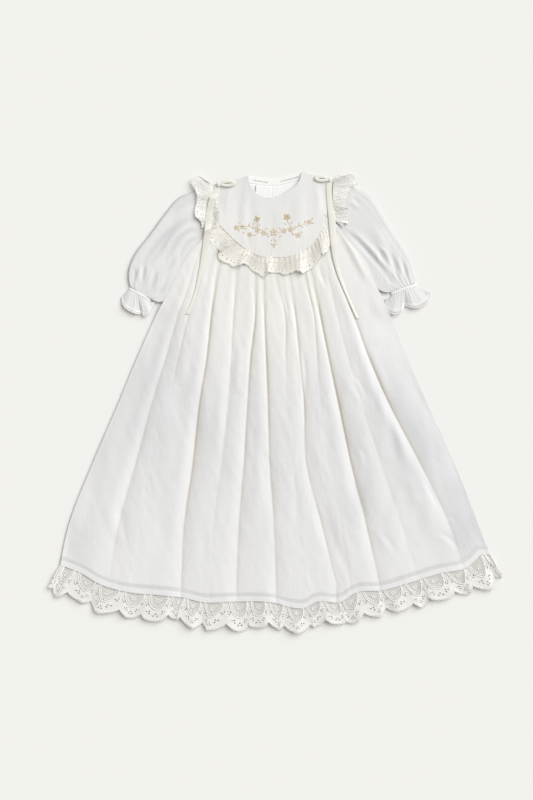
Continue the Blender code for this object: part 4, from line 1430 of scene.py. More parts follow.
@dataclass
class LaceSheet:
    """A strip of lace on a surface: a net ground with eyelets cut through it, and raised cords and flowers.

    Places along the strip are counted in repeats of its pattern, and places down it are shares.
    """

    name: str
    surface: Surface
    repeats: int
    pitch: float
    depth: float
    stuff: LaceStuff
    bag: MeshBag = field(default_factory=MeshBag)
    holes: list[tuple[Array, Array, float]] = field(default_factory=list)

    def closeness(self, place: Array, down: Array) -> Array:
        """How close the net is, from 0 to 1."""
        raise NotImplementedError

    def inside(self, places: Array) -> Array:
        """Which places lie on the strip."""
        return (places > 0.01) & (places < self.repeats - 0.01)

    def line(self, points_per_repeat: float) -> Array:
        """Places all along the strip."""
        return shares(int(self.repeats * points_per_repeat)) * self.repeats

    def spot(self, places: Array, downs: Array, lift: float) -> tuple[Array, Array]:
        """Points and normals at places and shares down the strip."""
        return self.surface.locate(places / self.repeats, downs, lift)

    def cords(self, places: Array, downs: Array | float, radius: float, sides: int = 4,
              closed: bool = False) -> None:
        """Adds raised cords along lines on the lace.

        Args:
            places: number of cords x points, or the points of one cord.
            downs: a share for each, or for all.
            radius: the cord's radius.
            sides: points of a ring.
            closed: whether each line is a loop.
        """
        places, downs = np.broadcast_arrays(np.atleast_2d(places), downs)
        points, normals = self.spot(places, downs, radius * 0.4)
        tubes(self.bag, points, radius, sides, normals, closed)

    def looped_edge(self, loops: int, points_per_loop: int, reach: float, radius: float) -> None:
        """Adds a cord of small loops along the free edge: its way out is the reach times a sine's size."""
        place = self.line(loops * points_per_loop)
        self.cords(place, 1.0 + reach / self.depth * np.abs(np.sin(np.pi * loops * place)), radius)

    def eyelets(self, places: Array, downs: Array | float, radius: float, rim: float) -> None:
        """Adds round holes with corded rims.

        Args:
            places: their middles.
            downs: a share for each, or for all.
            radius: the rim's radius.
            rim: the cord's radius.
        """
        places, downs = np.broadcast_arrays(places, downs)
        angle = np.arange(8) * FULL_TURN / 8
        around = places[:, None] + radius / self.pitch * np.cos(angle)
        self.cords(around, downs[:, None] + radius / self.depth * np.sin(angle), rim, closed=True)
        self.holes.append((places, downs, radius))

    def petals(self, places: Array, downs: Array | float, ways: Array | float, long: float, wide: float,
               high: float, point: float) -> None:
        """Adds stitched petals or leaves that lie on the lace, by arrays or single numbers.

        Args:
            places: their middles.
            downs: the middles' shares down.
            ways: the way that each points, 0 across and a quarter turn down the strip.
            long: half length.
            wide: half width.
            high: height.
            point: 0 for an oval, up to 1 for a leaf.
        """
        places, downs, ways = (np.ravel(each) for each in np.broadcast_arrays(places, downs, ways))
        across, along = 0.5 * MM / self.pitch * np.cos(ways), 0.5 * MM / self.depth * np.sin(ways)
        ahead, _ = self.spot(places + across, downs + along, 0.2 * MM)
        centre, normal = self.spot(places, downs, 0.05 * MM)
        forward = unit(ahead - centre)
        domes(self.bag, centre, forward * long, np.cross(normal, forward) * wide, normal * high, 6, point)

    def sprig(self, middles: Array, petals: tuple[Petal, ...]) -> None:
        """Adds petals on both sides of each middle."""
        for petal in petals:
            for side in (-1, 1):
                self.petals(middles + side * petal.place, petal.down + side * petal.drop,
                            petal.way + side * petal.turn, petal.long * MM, petal.wide * MM, petal.high * MM,
                            petal.point)

    def flower(self, places: Array, downs: Array | float, size: float, count: int = 5,
               turn: float = 0.0) -> None:
        """Adds small flowers: petals round a middle knot.

        Args:
            places: their middles.
            downs: the middles' shares down.
            size: radius of a flower.
            count: petals of a flower.
            turn: angle of the first petal.
        """
        places, downs = np.broadcast_arrays(places, downs)
        angle = np.arange(count) * FULL_TURN / count + turn
        around = places[:, None] + 0.58 * size / self.pitch * np.cos(angle)
        along = downs[:, None] + 0.58 * size / self.depth * np.sin(angle)
        self.petals(around, along, angle, 0.45 * size, 0.3 * size, 0.5 * MM, 0.1)
        self.petals(places, downs, 0.0, 0.2 * size, 0.2 * size, 0.8 * MM, 0.0)

    def finish(self, flat_size: tuple[float, float], rests_on: tuple[str, ...] = ()) -> None:
        """Builds the net sheet with its holes and the raised piece on it.

        Args:
            flat_size: the strip's flat width and length before gathering.
            rests_on: names of what it lies on.
        """
        rows, columns, _ = self.surface.points.shape
        across, down = face_middles(rows, columns)
        place, keep = across * self.repeats, np.ones(across.shape, bool)
        for middles, depths, radius in self.holes:
            for middle, depth in zip(middles, depths):
                away = ((place - middle) * self.pitch) ** 2 + ((down - depth) * self.depth) ** 2
                keep &= away > (0.95 * radius) ** 2
        ground = self.surface.cloth(self.name + "_net", keep=keep)
        paint(ground, "closeness", self.closeness(*np.meshgrid(shares(columns) * self.repeats, shares(rows))))
        dress(ground, self.stuff.ground, self.stuff.slot, self.name)
        cords = dress(self.bag.build(self.name + "_cords"), self.stuff.cord, self.stuff.slot)
        as_sheet(ground, flat_size, self.surface.area() * 1.02, Held.GATHERED, rests_on, (cords,))


@dataclass
class ScallopLace(LaceSheet):
    """Scalloped lace: in each scallop a corded U with a flower, a border of eyelets and a looped edge."""

    u_width: float = 0.39
    u_start: float = 0.04
    u_depth: float = 0.53
    # Size over the U's, and the cord's radius in mm, of the three cords of a U
    u_cords: Rows = ((1.0, 1.0), (0.84, 0.7), (0.72, 0.35))
    band_width: float = 0.46
    band_depth: float = 0.75
    cluster_angles: tuple[float, ...] = (34, 62, 90, 118, 146)
    # Way out and way aside of the three eyelets of a cluster, over the cluster's size
    cluster: Rows = ((-0.9, 0.0), (0.9, -1.1), (0.9, 1.1))
    cluster_size: float = 1.8 * MM
    eyelet_radius: float = 1.2 * MM
    picots: int = 14

    def closeness(self, place: Array, down: Array) -> Array:
        """Open net inside the U, close net in the border band and between the scallops.

        Args:
            place: places in repeats.
            down: shares down the strip.

        Returns:
            The closeness at each place.
        """
        off = place - np.round(place)
        reach = np.hypot(off / self.u_width, np.clip(down - self.u_start, 0, None) / self.u_depth)
        # The open net, inside the U and less so near the top, takes its finish's painted shade
        return 0.15 + 0.68 * ease((reach - 0.92) / 0.1) * (1 - 0.45 * ease((0.55 - down) / 0.2))

    def decorate(self) -> None:
        """Adds the raised work: the U cords, the flowers and leaves in and between them, and the edge."""
        middle = np.arange(self.repeats + 1)
        turn = np.radians(np.linspace(-4, 184, 25))
        for size, radius in self.u_cords:
            place = np.clip(middle[:, None] - size * self.u_width * np.cos(turn), 0, self.repeats)
            down = np.clip(self.u_start + size * self.u_depth * np.sin(turn), 0.01, 1)
            self.cords(place, down, radius * MM, 5)
        self.add_clusters(middle)
        inner = middle[self.inside(middle)]
        self.flower(inner, 0.24, 4.4 * MM)
        self.sprig(inner, SCALLOP_LEAVES)
        between = middle[:-1] + 0.5
        self.sprig(between, SCALLOP_GRAINS)
        for side in (-1, 1):
            stem = np.linspace(0.03, 0.19, 6)
            self.cords(inner[:, None] + side * stem, 0.25 - stem * 0.6, 0.3 * MM)
            self.flower(between + side * 0.075, 0.10, 2.8 * MM, 4, 0.4)
            self.flower(between + side * 0.05, 0.27, 2.4 * MM, 4)
        self.cords(self.line(self.picots * 4), 0.96, 0.5 * MM, 5)
        self.cords(self.line(24), 0.015, 0.4 * MM)
        self.looped_edge(self.picots, 4, 1.3 * MM, 0.45 * MM)

    def add_clusters(self, middle: Array) -> None:
        """Adds triangles of three eyelets along the border band, their tip towards the U.

        Args:
            middle: the scallops' middles, in repeats.
        """
        angle = np.radians(self.cluster_angles)
        place = middle[:, None] - self.band_width * np.cos(angle)
        down = np.broadcast_to(self.u_start + self.band_depth * np.sin(angle), place.shape)
        out, aside = np.array(self.cluster).T
        across = self.cluster_size * (np.sin(angle)[:, None] * aside - np.cos(angle)[:, None] * out)
        along = self.cluster_size * (np.cos(angle)[:, None] * aside + np.sin(angle)[:, None] * out)
        place = (place[..., None] + across / self.pitch).ravel()
        down = (down[..., None] + along / self.depth).ravel()
        fits = self.inside(place)
        self.eyelets(place[fits], down[fits], self.eyelet_radius, 0.22 * MM)


def notched(place: Array, notch: float) -> Array:
    """Reach of a scalloped edge: 1 at whole places, and less by the notch midway between them."""
    return 1 - notch * (1 - np.abs(np.cos(np.pi * place)) ** 0.7)


@dataclass
class HemLace:
    """The lace below the front hem: straight from the hem to the scalloped tips, with flutes."""

    skirt: Skirt
    root_spread: float = 358.0 / 381.0
    root_shift: float = -3 * MM
    root_ends: tuple[float, float] = (-361 * MM, 354 * MM)
    tuck: float = 2.0 * MM
    tuck_depth: float = 0.65 * MM
    tip_z: float = 6.4 * MM
    lowest: float = 1.9 * MM
    notch: float = 0.27
    columns_per_scallop: int = 40
    rows: int = 44
    slow_turns: float = 0.575
    slow_start: float = 0.10
    quick_turns: float = 1.21
    quick_start: float = -0.25
    flute: float = 1.6 * MM
    flute_power: float = 1.2
    sway: float = 4.2 * MM
    belly: float = 0.8 * MM

    def surface(self) -> Surface:
        """The strip: ruled from the hem to the tips, with flutes that grow downwards.

        A flute lifts the strip by a slow and a quick wave of the place, times the share down to a power,
        and sways it sideways by the waves a quarter turn on.

        Returns:
            The surface over places from 0 to the last tip.
        """
        scallops = len(LACE_TIPS) - 1
        count = scallops * self.columns_per_scallop + 1
        place = shares(count) * scallops
        tips = through(LACE_TIPS, count) * MM
        x = np.clip(tips[:, 0] * self.root_spread + self.root_shift, *self.root_ends)
        hem = self.skirt.surface(self.skirt.band_columns_per_fold, np.array([1.0])).points[0]
        y, z = (np.interp(x, hem[:, 0], hem[:, axis]) for axis in (1, 2))
        z = smooth_rows((z - self.tuck_depth)[:, None], 40)[:, 0]
        root = np.stack([x, y + self.tuck, z], axis=-1)
        share = shares(self.rows)[:, None]
        points = ruled(root, raised(tips, self.tip_z), share * notched(place, self.notch))
        slow = FULL_TURN * (self.slow_turns * place + self.slow_start)
        quick = FULL_TURN * (self.quick_turns * place + self.quick_start)
        wave = np.cos(slow) + 0.6 * np.sin(quick) + 0.7 * wander(place, 0.9, 5)
        points[..., 2] += self.flute * wave * share**self.flute_power + self.belly * np.sin(np.pi * share)
        points[..., 0] += self.sway * (np.sin(slow) + 0.5 * np.cos(quick)) * share
        points[..., 2] = np.maximum(points[..., 2], self.lowest)
        return Surface(points)

    def build(self) -> None:
        """Builds the lace."""
        scallops = len(LACE_TIPS) - 1
        lace = ScallopLace("front_hem_lace", self.surface(), scallops, 35 * MM, 45 * MM, SCALLOP_STUFF)
        lace.decorate()
        lace.finish((1.08, 0.05), ("back_hem_lace_net",))


# Ribs of each frill: x and y of the sewn end, x and y of the free end and the free end's height
YOKE_FRILL = (
    (-105, 338, -108, 337, 8.6), (-104, 329, -109, 328, 8.8), (-102, 320, -110, 317, 8.8),
    (-99, 306, -112, 301, 8.6), (-96, 298, -115, 286, 9.2), (-91, 289, -113, 270, 8.6),
    (-83, 279, -104, 261, 9.8), (-75, 271, -95, 250, 9.4), (-67, 264, -94, 238, 11.6),
    (-57, 258, -80, 230, 9.2), (-48, 253, -62, 230, 11.8), (-40, 249, -48, 228, 9.4),
    (-32, 245, -40, 220, 12.2), (-24, 243, -30, 211, 9.6), (-12, 242, -14, 216, 12.0),
    (0, 242, -2, 217, 9.6), (12, 243, 10, 213, 12.2), (24, 245, 22, 217, 9.6), (36, 249, 36, 219, 12.0),
    (47, 255, 50, 220, 9.6), (56, 262, 62, 228, 11.8), (64, 270, 70, 243, 9.4), (71, 280, 81, 252, 9.8),
    (76, 289, 88, 262, 8.8), (80, 300, 90, 280, 8.6), (81, 312, 87, 302, 8.8),
)
LEFT_SHOULDER_FRILL = (
    (-112, 366, -118, 371, 9.0), (-113, 360, -132, 374, 11.0), (-114, 354, -143, 367, 9.4),
    (-115, 348, -135, 355, 8.2), (-117, 340, -134, 342, 10.6), (-120, 331, -136, 330, 8.4),
    (-122, 322, -137, 318, 10.4), (-124, 314, -134, 310, 8.6), (-124, 306, -131, 305, 10.0),
    (-124, 299, -128, 298, 8.8), (-124, 293, -126, 291, 9.2),
)
RIGHT_SHOULDER_FRILL = (
    (98, 375, 102, 379, 9.0), (98, 370, 116, 380, 11.0), (98, 365, 129, 374, 9.0),
    (98, 360, 133, 365, 10.8), (98, 354, 123, 358, 8.4), (98, 347, 120, 350, 10.6),
    (98, 340, 116, 341, 8.4), (98, 332, 112, 333, 10.4), (98, 323, 116, 324, 8.4),
    (98.5, 314, 118, 313, 10.4), (100, 306, 117, 303, 8.6), (102.5, 300, 113, 297, 9.8),
    (106, 295, 109, 292, 9.0),
)


@dataclass
class FrillLace(LaceSheet):
    """Ruffled lace with small scallops: eyelets in pairs, flowers on a dense ground and a looped edge."""

    ruffle_repeats: float = 4.7
    # Painted shade: from ruffle to ruffle the net by turns opens and takes the painted shade colour
    ruffle_tone: float = 0.32
    # Share down and radius in mm of the cords along the strip
    cord_lines: Rows = ((0.70, 0.25), (0.95, 0.3))

    def closeness(self, place: Array, down: Array) -> Array:
        """Closer net near the free edge, and by turns more open and in painted shade from ruffle to ruffle."""
        ruffle = self.ruffle_tone * np.sin(FULL_TURN * (place / self.ruffle_repeats + 0.08 * down) + 0.6)
        return np.clip(0.38 + 0.42 * ease((down - 0.7) / 0.1) + ruffle, 0, 1)

    def decorate(self) -> None:
        """Adds a vine of flowers and leaves along the strip, eyelets under it, and the corded edge."""
        middle = np.arange(self.repeats) + 0.5
        self.flower(middle, 0.42 + 0.06 * np.cos(np.pi * middle), 3.0 * MM)
        self.sprig(middle, FRILL_LEAVES)
        eyelets = np.concatenate([middle - 0.22, middle + 0.22, middle[:-1] + 0.5])
        self.eyelets(eyelets, 0.83, 0.8 * MM, 0.24 * MM)
        place = self.line(20)
        self.cords(place, 0.40 + 0.10 * np.sin(FULL_TURN * place), 0.22 * MM)
        for down, radius in self.cord_lines:
            self.cords(place, down, radius * MM)
        self.looped_edge(5, 5, 0.9 * MM, 0.3 * MM)


@dataclass
class Frill:
    """A gathered strip of lace between a sewn edge and a free edge, given by ribs."""

    name: str
    ribs: Rows
    sewn_z: float
    depth: float
    repeats: int
    stuff: LaceStuff
    rests_on: str
    flat_size: tuple[float, float]
    tuck: float = 4 * MM
    flute: float = 3.0 * MM
    curl: float = 6.2 * MM
    gather_height: float = 0.4 * MM
    tuck_depth: float = 0.1 * MM
    turns_per_rib: float = 0.28
    columns_per_rib: int = 16
    rows: int = 30
    lift_power: float = 0.8
    curl_power: float = 1.3
    scallop: float = 0.06

    def surface(self) -> Surface:
        """The strip: ribs from the sewn edge to the free edge, waved up and sideways towards the free edge.

        The free edge's height is the rib's, plus flute times a wave. The strip curls sideways along its own
        length by curl times the wave's quarter-turned copy, so that some flutes fold over.

        Returns:
            The surface.
        """
        spans = len(self.ribs) - 1
        count = spans * self.columns_per_rib + 1
        table = through(self.ribs, count) * MM
        sewn, free, free_z = table[:, :2], table[:, 2:4], smooth_rows(table[:, 4:], 200)[:, 0]
        sewn = sewn - self.tuck * unit(smooth_rows(free - sewn, 60))
        share, place = shares(self.rows)[:, None], shares(count) * spans
        reach = 1 - self.scallop * (1 - np.abs(np.sin(np.pi * place * self.repeats / spans)))
        turns = self.turns_per_rib * place + 0.35 * wander(place, 3.1, len(self.name))
        wave = np.sin(FULL_TURN * turns + 0.8) + 0.35 * np.sin(FULL_TURN * 1.9 * turns + 2.0)
        lean = self.curl * np.cos(FULL_TURN * turns + 0.8) * share**self.curl_power
        plan = ruled(sewn, free, share * reach) + lean[..., None] * unit(np.gradient(sewn, axis=0))
        root_z = self.sewn_z - self.tuck_depth
        z = root_z + (free_z - root_z) * share**self.lift_power + self.flute * wave * share
        z += self.gather_height * np.sin(FULL_TURN * place * 1.5) * (1 - share)
        run, out = sewn[-1] - sewn[0], free[0] - sewn[0]
        points = raised(plan, z)
        return Surface(points[:, ::-1] if out[0] * run[1] < out[1] * run[0] else points)

    def build(self) -> Surface:
        """Builds the strip's net and its raised work, and gives the strip's surface."""
        surface = self.surface()
        pitch = surface.lengths()[0][-1] / self.repeats
        lace = FrillLace(self.name, surface, self.repeats, pitch, self.depth, self.stuff)
        lace.decorate()
        lace.finish(self.flat_size, (self.rests_on,))
        return surface


# The yoke and its embroidery


# Ribs: x, y and height at the shoulders and the neckline, and the place on the seam in fold lines
YOKE_RIBS = (
    (-110, 362, 2.8, 2.3), (-90, 367, 2.9, 2.7), (-70, 372, 3.1, 3.1), (-57, 376, 3.6, 3.7),
    (-50, 378, 4.6, 4.0), (-46, 364, 5.6, 4.4), (-38, 353, 6.2, 4.8), (-27, 345, 6.4, 5.6),
    (-15, 342, 6.6, 6.5), (-5, 343, 6.6, 7.0), (5, 346, 6.6, 7.5), (18, 353, 6.4, 8.3), (29, 361, 6.2, 9.1),
    (37, 372, 5.6, 9.7), (41, 384, 4.6, 10.3), (55, 382, 3.6, 11.0), (75, 377, 3.1, 11.5),
    (94, 371, 2.8, 12.05),
)
YOKE_CREASES = (
    (-42, 346, -44, 282, 2, 6, 0.9), (-30, 332, -34, 262, -2, 4, -0.5), (-62, 352, -66, 288, 2, 7, 0.7),
    (-76, 366, -84, 310, 3, 5, -0.7), (24, 346, 20, 276, 2, 7, 0.6), (46, 362, 50, 284, -2, 8, 0.8),
    (62, 374, 66, 300, -3, 5, -0.6), (-8, 322, -6, 262, 1, 6, 0.4), (72, 368, 78, 312, -2, 4, 0.6),
    (-92, 362, -98, 318, 2, 4, 0.6), (34, 300, 40, 262, 2, 5, 0.6), (-52, 288, -50, 258, -2, 4, 0.5),
)


@dataclass
class Yoke:
    """The round front yoke, with its neckline, its gathers over the seam and the corded seam edge."""

    form: SkirtForm
    seam_z: float = 5.8 * MM
    edge_z: float = 8.3 * MM
    crown: float = 2.2 * MM
    crown_power: float = 1.6
    side_power: float = 3.0
    columns_per_rib: int = 9
    rows: int = 64
    gather_height: float = 0.28 * MM
    gather_pitch: float = 6.4 * MM
    gather_reach: float = 0.12
    gather_side: float = 45 * MM
    thickness: float = 0.6 * MM
    bare_ends: int = 6

    def surface(self) -> Surface:
        """The yoke: ribs from the shoulders and the neckline to the seam, over a crown.

        The crown is crown sin(pi down) ^ power (1 - |side| ^ side power). Near the seam the cloth rises onto
        the lace that is sewn under its edge, with small gathers of a fixed pitch.

        Returns:
            The surface.
        """
        count = (len(YOKE_RIBS) - 1) * self.columns_per_rib + 1
        table = through(YOKE_RIBS, count)
        top = table[:, :3] * MM
        top[:, 2] = smooth_rows(top[:, 2:], 60)[:, 0]
        low = raised(np.stack(self.form.seam(table[:, 3]), axis=-1), self.seam_z)
        down, side = shares(self.rows)[:, None], np.abs(np.linspace(-1, 1, count))
        points = ruled(top, low, down)
        x, y, left = points[..., 0], points[..., 1], 1 - down
        crown = self.crown * np.sin(np.pi * down) ** self.crown_power * (1 - side**self.side_power)
        edge = (self.edge_z - self.seam_z) * ease((down - 0.35) / 0.6) * ease((1 - side) / 0.08)
        gathers = np.sin(FULL_TURN * x / self.gather_pitch + 5 * noise(x, y, 24 * MM, 60 * MM, 8))
        gathers *= (0.6 + 0.6 * noise(x, y, 13 * MM, 90 * MM, 12)) * ease(1.6 - np.abs(x) / self.gather_side)
        gathers *= self.gather_height * bell(left / self.gather_reach, 1) * ease(left / 0.03)
        uneven = 0.35 * MM * noise(x, y, 26 * MM, 60 * MM, 7) + 0.12 * MM * noise(x, y, 9 * MM, 22 * MM, 9)
        relief = (crease_field(YOKE_CREASES, x, y) + uneven) * ease(down / 0.12) * ease(left / 0.1)
        points[..., 2] += crown + edge + gathers + relief
        return Surface(points)

    def build(self) -> Surface:
        """Builds the yoke and the cord on its seam, and gives the yoke's surface."""
        face = self.surface()
        yoke = dress(face.cloth("front_yoke_cloth", self.thickness), YOKE_BATISTE, "cotton", "front_yoke")
        bag = MeshBag()
        edge = face.points[-1, self.bare_ends : -self.bare_ends] + np.array([0, 0, 0.2 * MM])
        tubes(bag, edge[None], 0.45 * MM, 8, flat=0.8)
        cord = dress(bag.build("yoke_seam_cord"), WHITE_THREAD, "cotton")
        as_sheet(yoke, (0.22, 0.14), face.area() * 1.03, Held.LAID, ("back_yoke_cloth",), (cord,))
        return face


# Stitched flowers: middle and radius, number of petals, and turn in degrees
BROWN_BLOOMS = ((-34, 306, 5.6, 4, 20), (16, 309, 6.2, 5, 65))
TAN_BLOOMS = (
    (-6, 284, 6.8, 5, 90), (-23, 283, 5.2, 5, 30), (-33, 287, 4.4, 5, 75), (-46, 280, 4.6, 5, 50),
    (-58, 293, 4.2, 5, 20), (-68, 292, 5.0, 5, 100), (11, 286, 5.0, 5, 15), (22, 288, 4.6, 5, 60),
    (34, 279, 5.2, 5, 80), (53, 301, 4.8, 5, 40), (-6, 262, 4.4, 3, -90),
)
# Stitched leaves: middle, half length and half width, and way in degrees
LEAVES = (
    (-40, 291, 3.4, 1.3, 150), (-47, 297, 3.0, 1.2, 60), (-52, 290, 2.8, 1.1, 210),
    (-38, 279, 2.6, 1.1, 20), (-16, 278, 3.0, 1.2, 320), (-18, 290, 2.4, 1.0, 40),
    (-40, 297, 2.2, 1.0, 120), (-30, 296, 2.6, 1.0, 50), (-38, 300, 2.6, 1.0, 130), (5, 277, 3.0, 1.2, 220),
    (4, 290, 2.4, 1.0, 140), (29, 290, 3.2, 1.2, 30), (36, 297, 3.4, 1.3, 70), (41, 293, 3.0, 1.1, 340),
    (46, 302, 3.0, 1.1, 80), (47, 296, 2.6, 1.0, 330), (58, 306, 2.8, 1.1, 50), (59, 299, 2.6, 1.1, 340),
    (26, 280, 2.6, 1.0, 200), (40, 284, 2.6, 1.0, 40), (23, 300, 2.8, 1.1, 40), (13, 298, 2.6, 1.0, 130),
    (-9, 271, 2.6, 1.0, 230), (-3, 270, 2.6, 1.0, 310), (-10, 264, 2.2, 0.9, 120), (-2, 264, 2.2, 0.9, 60),
    (-62, 299, 2.4, 1.0, 70), (-64, 287, 2.4, 1.0, 250), (-56, 283, 2.4, 1.0, 200),
)
STEMS = (
    ((-13, 281), (-18, 282), (-26, 287), (-34, 292), (-45, 293), (-56, 294), (-64, 293)),
    ((-30, 285), (-38, 279), (-44, 279)), ((-34, 300), (-33, 295), (-36, 291)),
    ((1, 281), (5, 284), (14, 289), (24, 292), (36, 294), (46, 299), (52, 301)),
    ((18, 288), (26, 282), (32, 280)), ((16, 302), (20, 297), (22, 292)), ((-6, 277), (-5, 270), (-6, 264)),
    ((-48, 293), (-46, 296)), ((-11, 279), (-15, 276)),
)


@dataclass
class Embroidery:
    """The sprays stitched on the yoke: flowers, leaves and stems in two threads."""

    ground: Surface
    stem_radius: float = 0.5 * MM
    height: float = 0.9 * MM
    lift: float = 0.05 * MM

    def mounds(self, bag: MeshBag, x: Array, y: Array, way: Array, long: Array | float, wide: Array | float,
               high: float, *form: object) -> None:
        """Adds stitched mounds on the yoke.

        Args:
            bag: where the mounds go.
            x: their middles along X, in mm.
            y: their middles along Y, in mm.
            way: the way that each points, as an angle in the plan.
            long: half lengths in mm.
            wide: half widths in mm.
            high: their height over the usual one.
            form: the sides, the point and the rings of the domes.
        """
        foot, normal = self.ground.drape(x * MM, y * MM, self.lift)
        ahead = raised(np.stack([np.cos(way), np.sin(way)], axis=-1), 0.0)
        forward = unit(ahead - normal * (ahead * normal).sum(axis=-1, keepdims=True))
        side = np.cross(normal, forward)
        domes(bag, foot, forward * long * MM, side * wide * MM, normal * self.height * high, *form)

    def add_blooms(self, bag: MeshBag, blooms: Rows) -> None:
        """Adds flowers: petals round a middle knot.

        Args:
            bag: where they go.
            blooms: the flowers' table.
        """
        for x, y, size, count, turn in blooms:
            way = np.radians(turn) + np.arange(count) * FULL_TURN / count
            self.mounds(bag, x + 0.56 * size * np.cos(way), y + 0.56 * size * np.sin(way), way, 0.46 * size,
                        0.36 * size, 1.0, 10, 0.1, (1.0, 0.85, 0.5, 0.15))
            self.mounds(bag, np.array([x]), np.array([y]), np.zeros(1), 0.2 * size, 0.2 * size, 1.3)

    def build(self) -> None:
        """Builds one piece for each thread."""
        tan, brown = MeshBag(), MeshBag()
        self.add_blooms(tan, TAN_BLOOMS)
        self.add_blooms(brown, BROWN_BLOOMS)
        x, y, long, wide, way = np.array(LEAVES).T
        self.mounds(tan, x, y, np.radians(way), long[:, None], wide[:, None], 0.8, 10, 0.5, (1.0, 0.8, 0.35))
        for stem in STEMS:
            path, normal = self.ground.drape(*(through(stem, 5 * len(stem)) * MM).T, self.lift)
            tubes(tan, path[None], self.stem_radius, 6, normal[None])
        dress(tan.build("yoke_embroidery"), TAN_THREAD, "lace_cream")
        dress(brown.build("yoke_rosebuds"), BROWN_THREAD, "lace_cream")


# Sleeves and cuffs


# Stations from the armhole to the cuff: x and y of the outer side, of the inner side, and the height
LEFT_SLEEVE = (
    (-117, 358, -122, 263, 4.2), (-135, 354, -131, 251, 4.6), (-165, 342, -144, 235, 5.2),
    (-190, 313, -157, 214, 5.6), (-214, 280, -169, 192, 5.8), (-236, 252, -182, 171, 5.8),
    (-247, 228, -195, 166, 5.6), (-249, 208, -201, 168, 5.2), (-246, 194, -210, 173, 4.6),
)
RIGHT_SLEEVE = (
    (99, 366, 99, 284, 4.7), (124, 359, 115, 262, 4.6), (150, 345, 131, 239, 5.2),
    (170, 317, 144, 221, 5.6), (190, 283, 156, 200, 5.8), (208, 257, 166, 188, 5.8),
    (220, 234, 174, 184, 5.6), (226, 214, 182, 183, 5.2), (230, 200, 188, 185, 4.6),
)
# X and y along the free edges of the cuff frills
LEFT_CUFF_EDGE = (
    (-262, 172), (-256, 163), (-245, 155), (-234, 149), (-225, 146), (-217, 149), (-211, 158), (-206, 167),
)
RIGHT_CUFF_EDGE = (
    (253, 181), (249, 171), (237, 163), (225, 160), (213, 160), (205, 153), (194, 151), (184, 155),
    (181, 168),
)
LEFT_SLEEVE_CREASES = (
    (-126, 299, -194, 236, 15, 4, -2.4), (-128, 291, -190, 224, 15, 3.2, 2.4),
    (-129, 282, -176, 232, 12, 3.2, -1.7), (-128, 275, -164, 236, 10, 3, 1.6),
    (-144, 308, -229, 220, 12, 5, 2.8), (-138, 302, -208, 214, 12, 4.5, -2.0),
    (-160, 322, -240, 238, 9, 6, -1.8), (-176, 336, -232, 262, 5, 6, 1.6),
    (-146, 342, -186, 306, 4, 9, 1.4), (-134, 326, -170, 300, 5, 7, -1.2),
    (-240, 202, -238, 226, 2, 2.5, 2.0), (-233, 200, -229, 232, 2, 2.8, -1.8),
    (-227, 198, -220, 232, 1, 2.5, 2.2), (-220, 192, -208, 226, 2, 3.0, -1.8),
    (-214, 188, -200, 218, 2, 2.5, 2.0), (-207, 184, -188, 212, 2, 3.0, -1.6),
    (-202, 178, -184, 198, 2, 2.5, 1.6), (-190, 216, -170, 246, 3, 4.0, 1.4),
    (-206, 232, -184, 262, 4, 5.0, 1.4),
)
RIGHT_SLEEVE_CREASES = (
    (118, 294, 196, 206, -3, 4, -2.4), (112, 288, 186, 206, -4, 4, 2.0), (128, 346, 140, 328, 3, 3.5, 2.0),
    (122, 338, 138, 322, -3, 5, -1.2), (154, 300, 186, 234, -4, 7, -1.4),
    (165, 262, 186, 226, -7, 3.0, -2.2), (172, 256, 180, 232, 4, 3.0, 2.0),
    (186, 252, 196, 210, -3, 3.5, 1.8), (196, 250, 206, 206, -3, 4.0, -2.0),
    (204, 244, 214, 206, -2, 3.0, 1.8), (212, 238, 222, 206, -2, 3.5, -1.8),
    (176, 300, 206, 246, -6, 8, 1.6), (140, 262, 168, 212, 3, 9, 1.6), (192, 226, 200, 200, 2, 2.5, -1.5),
    (184, 214, 192, 196, 2, 2.5, 1.4),
)


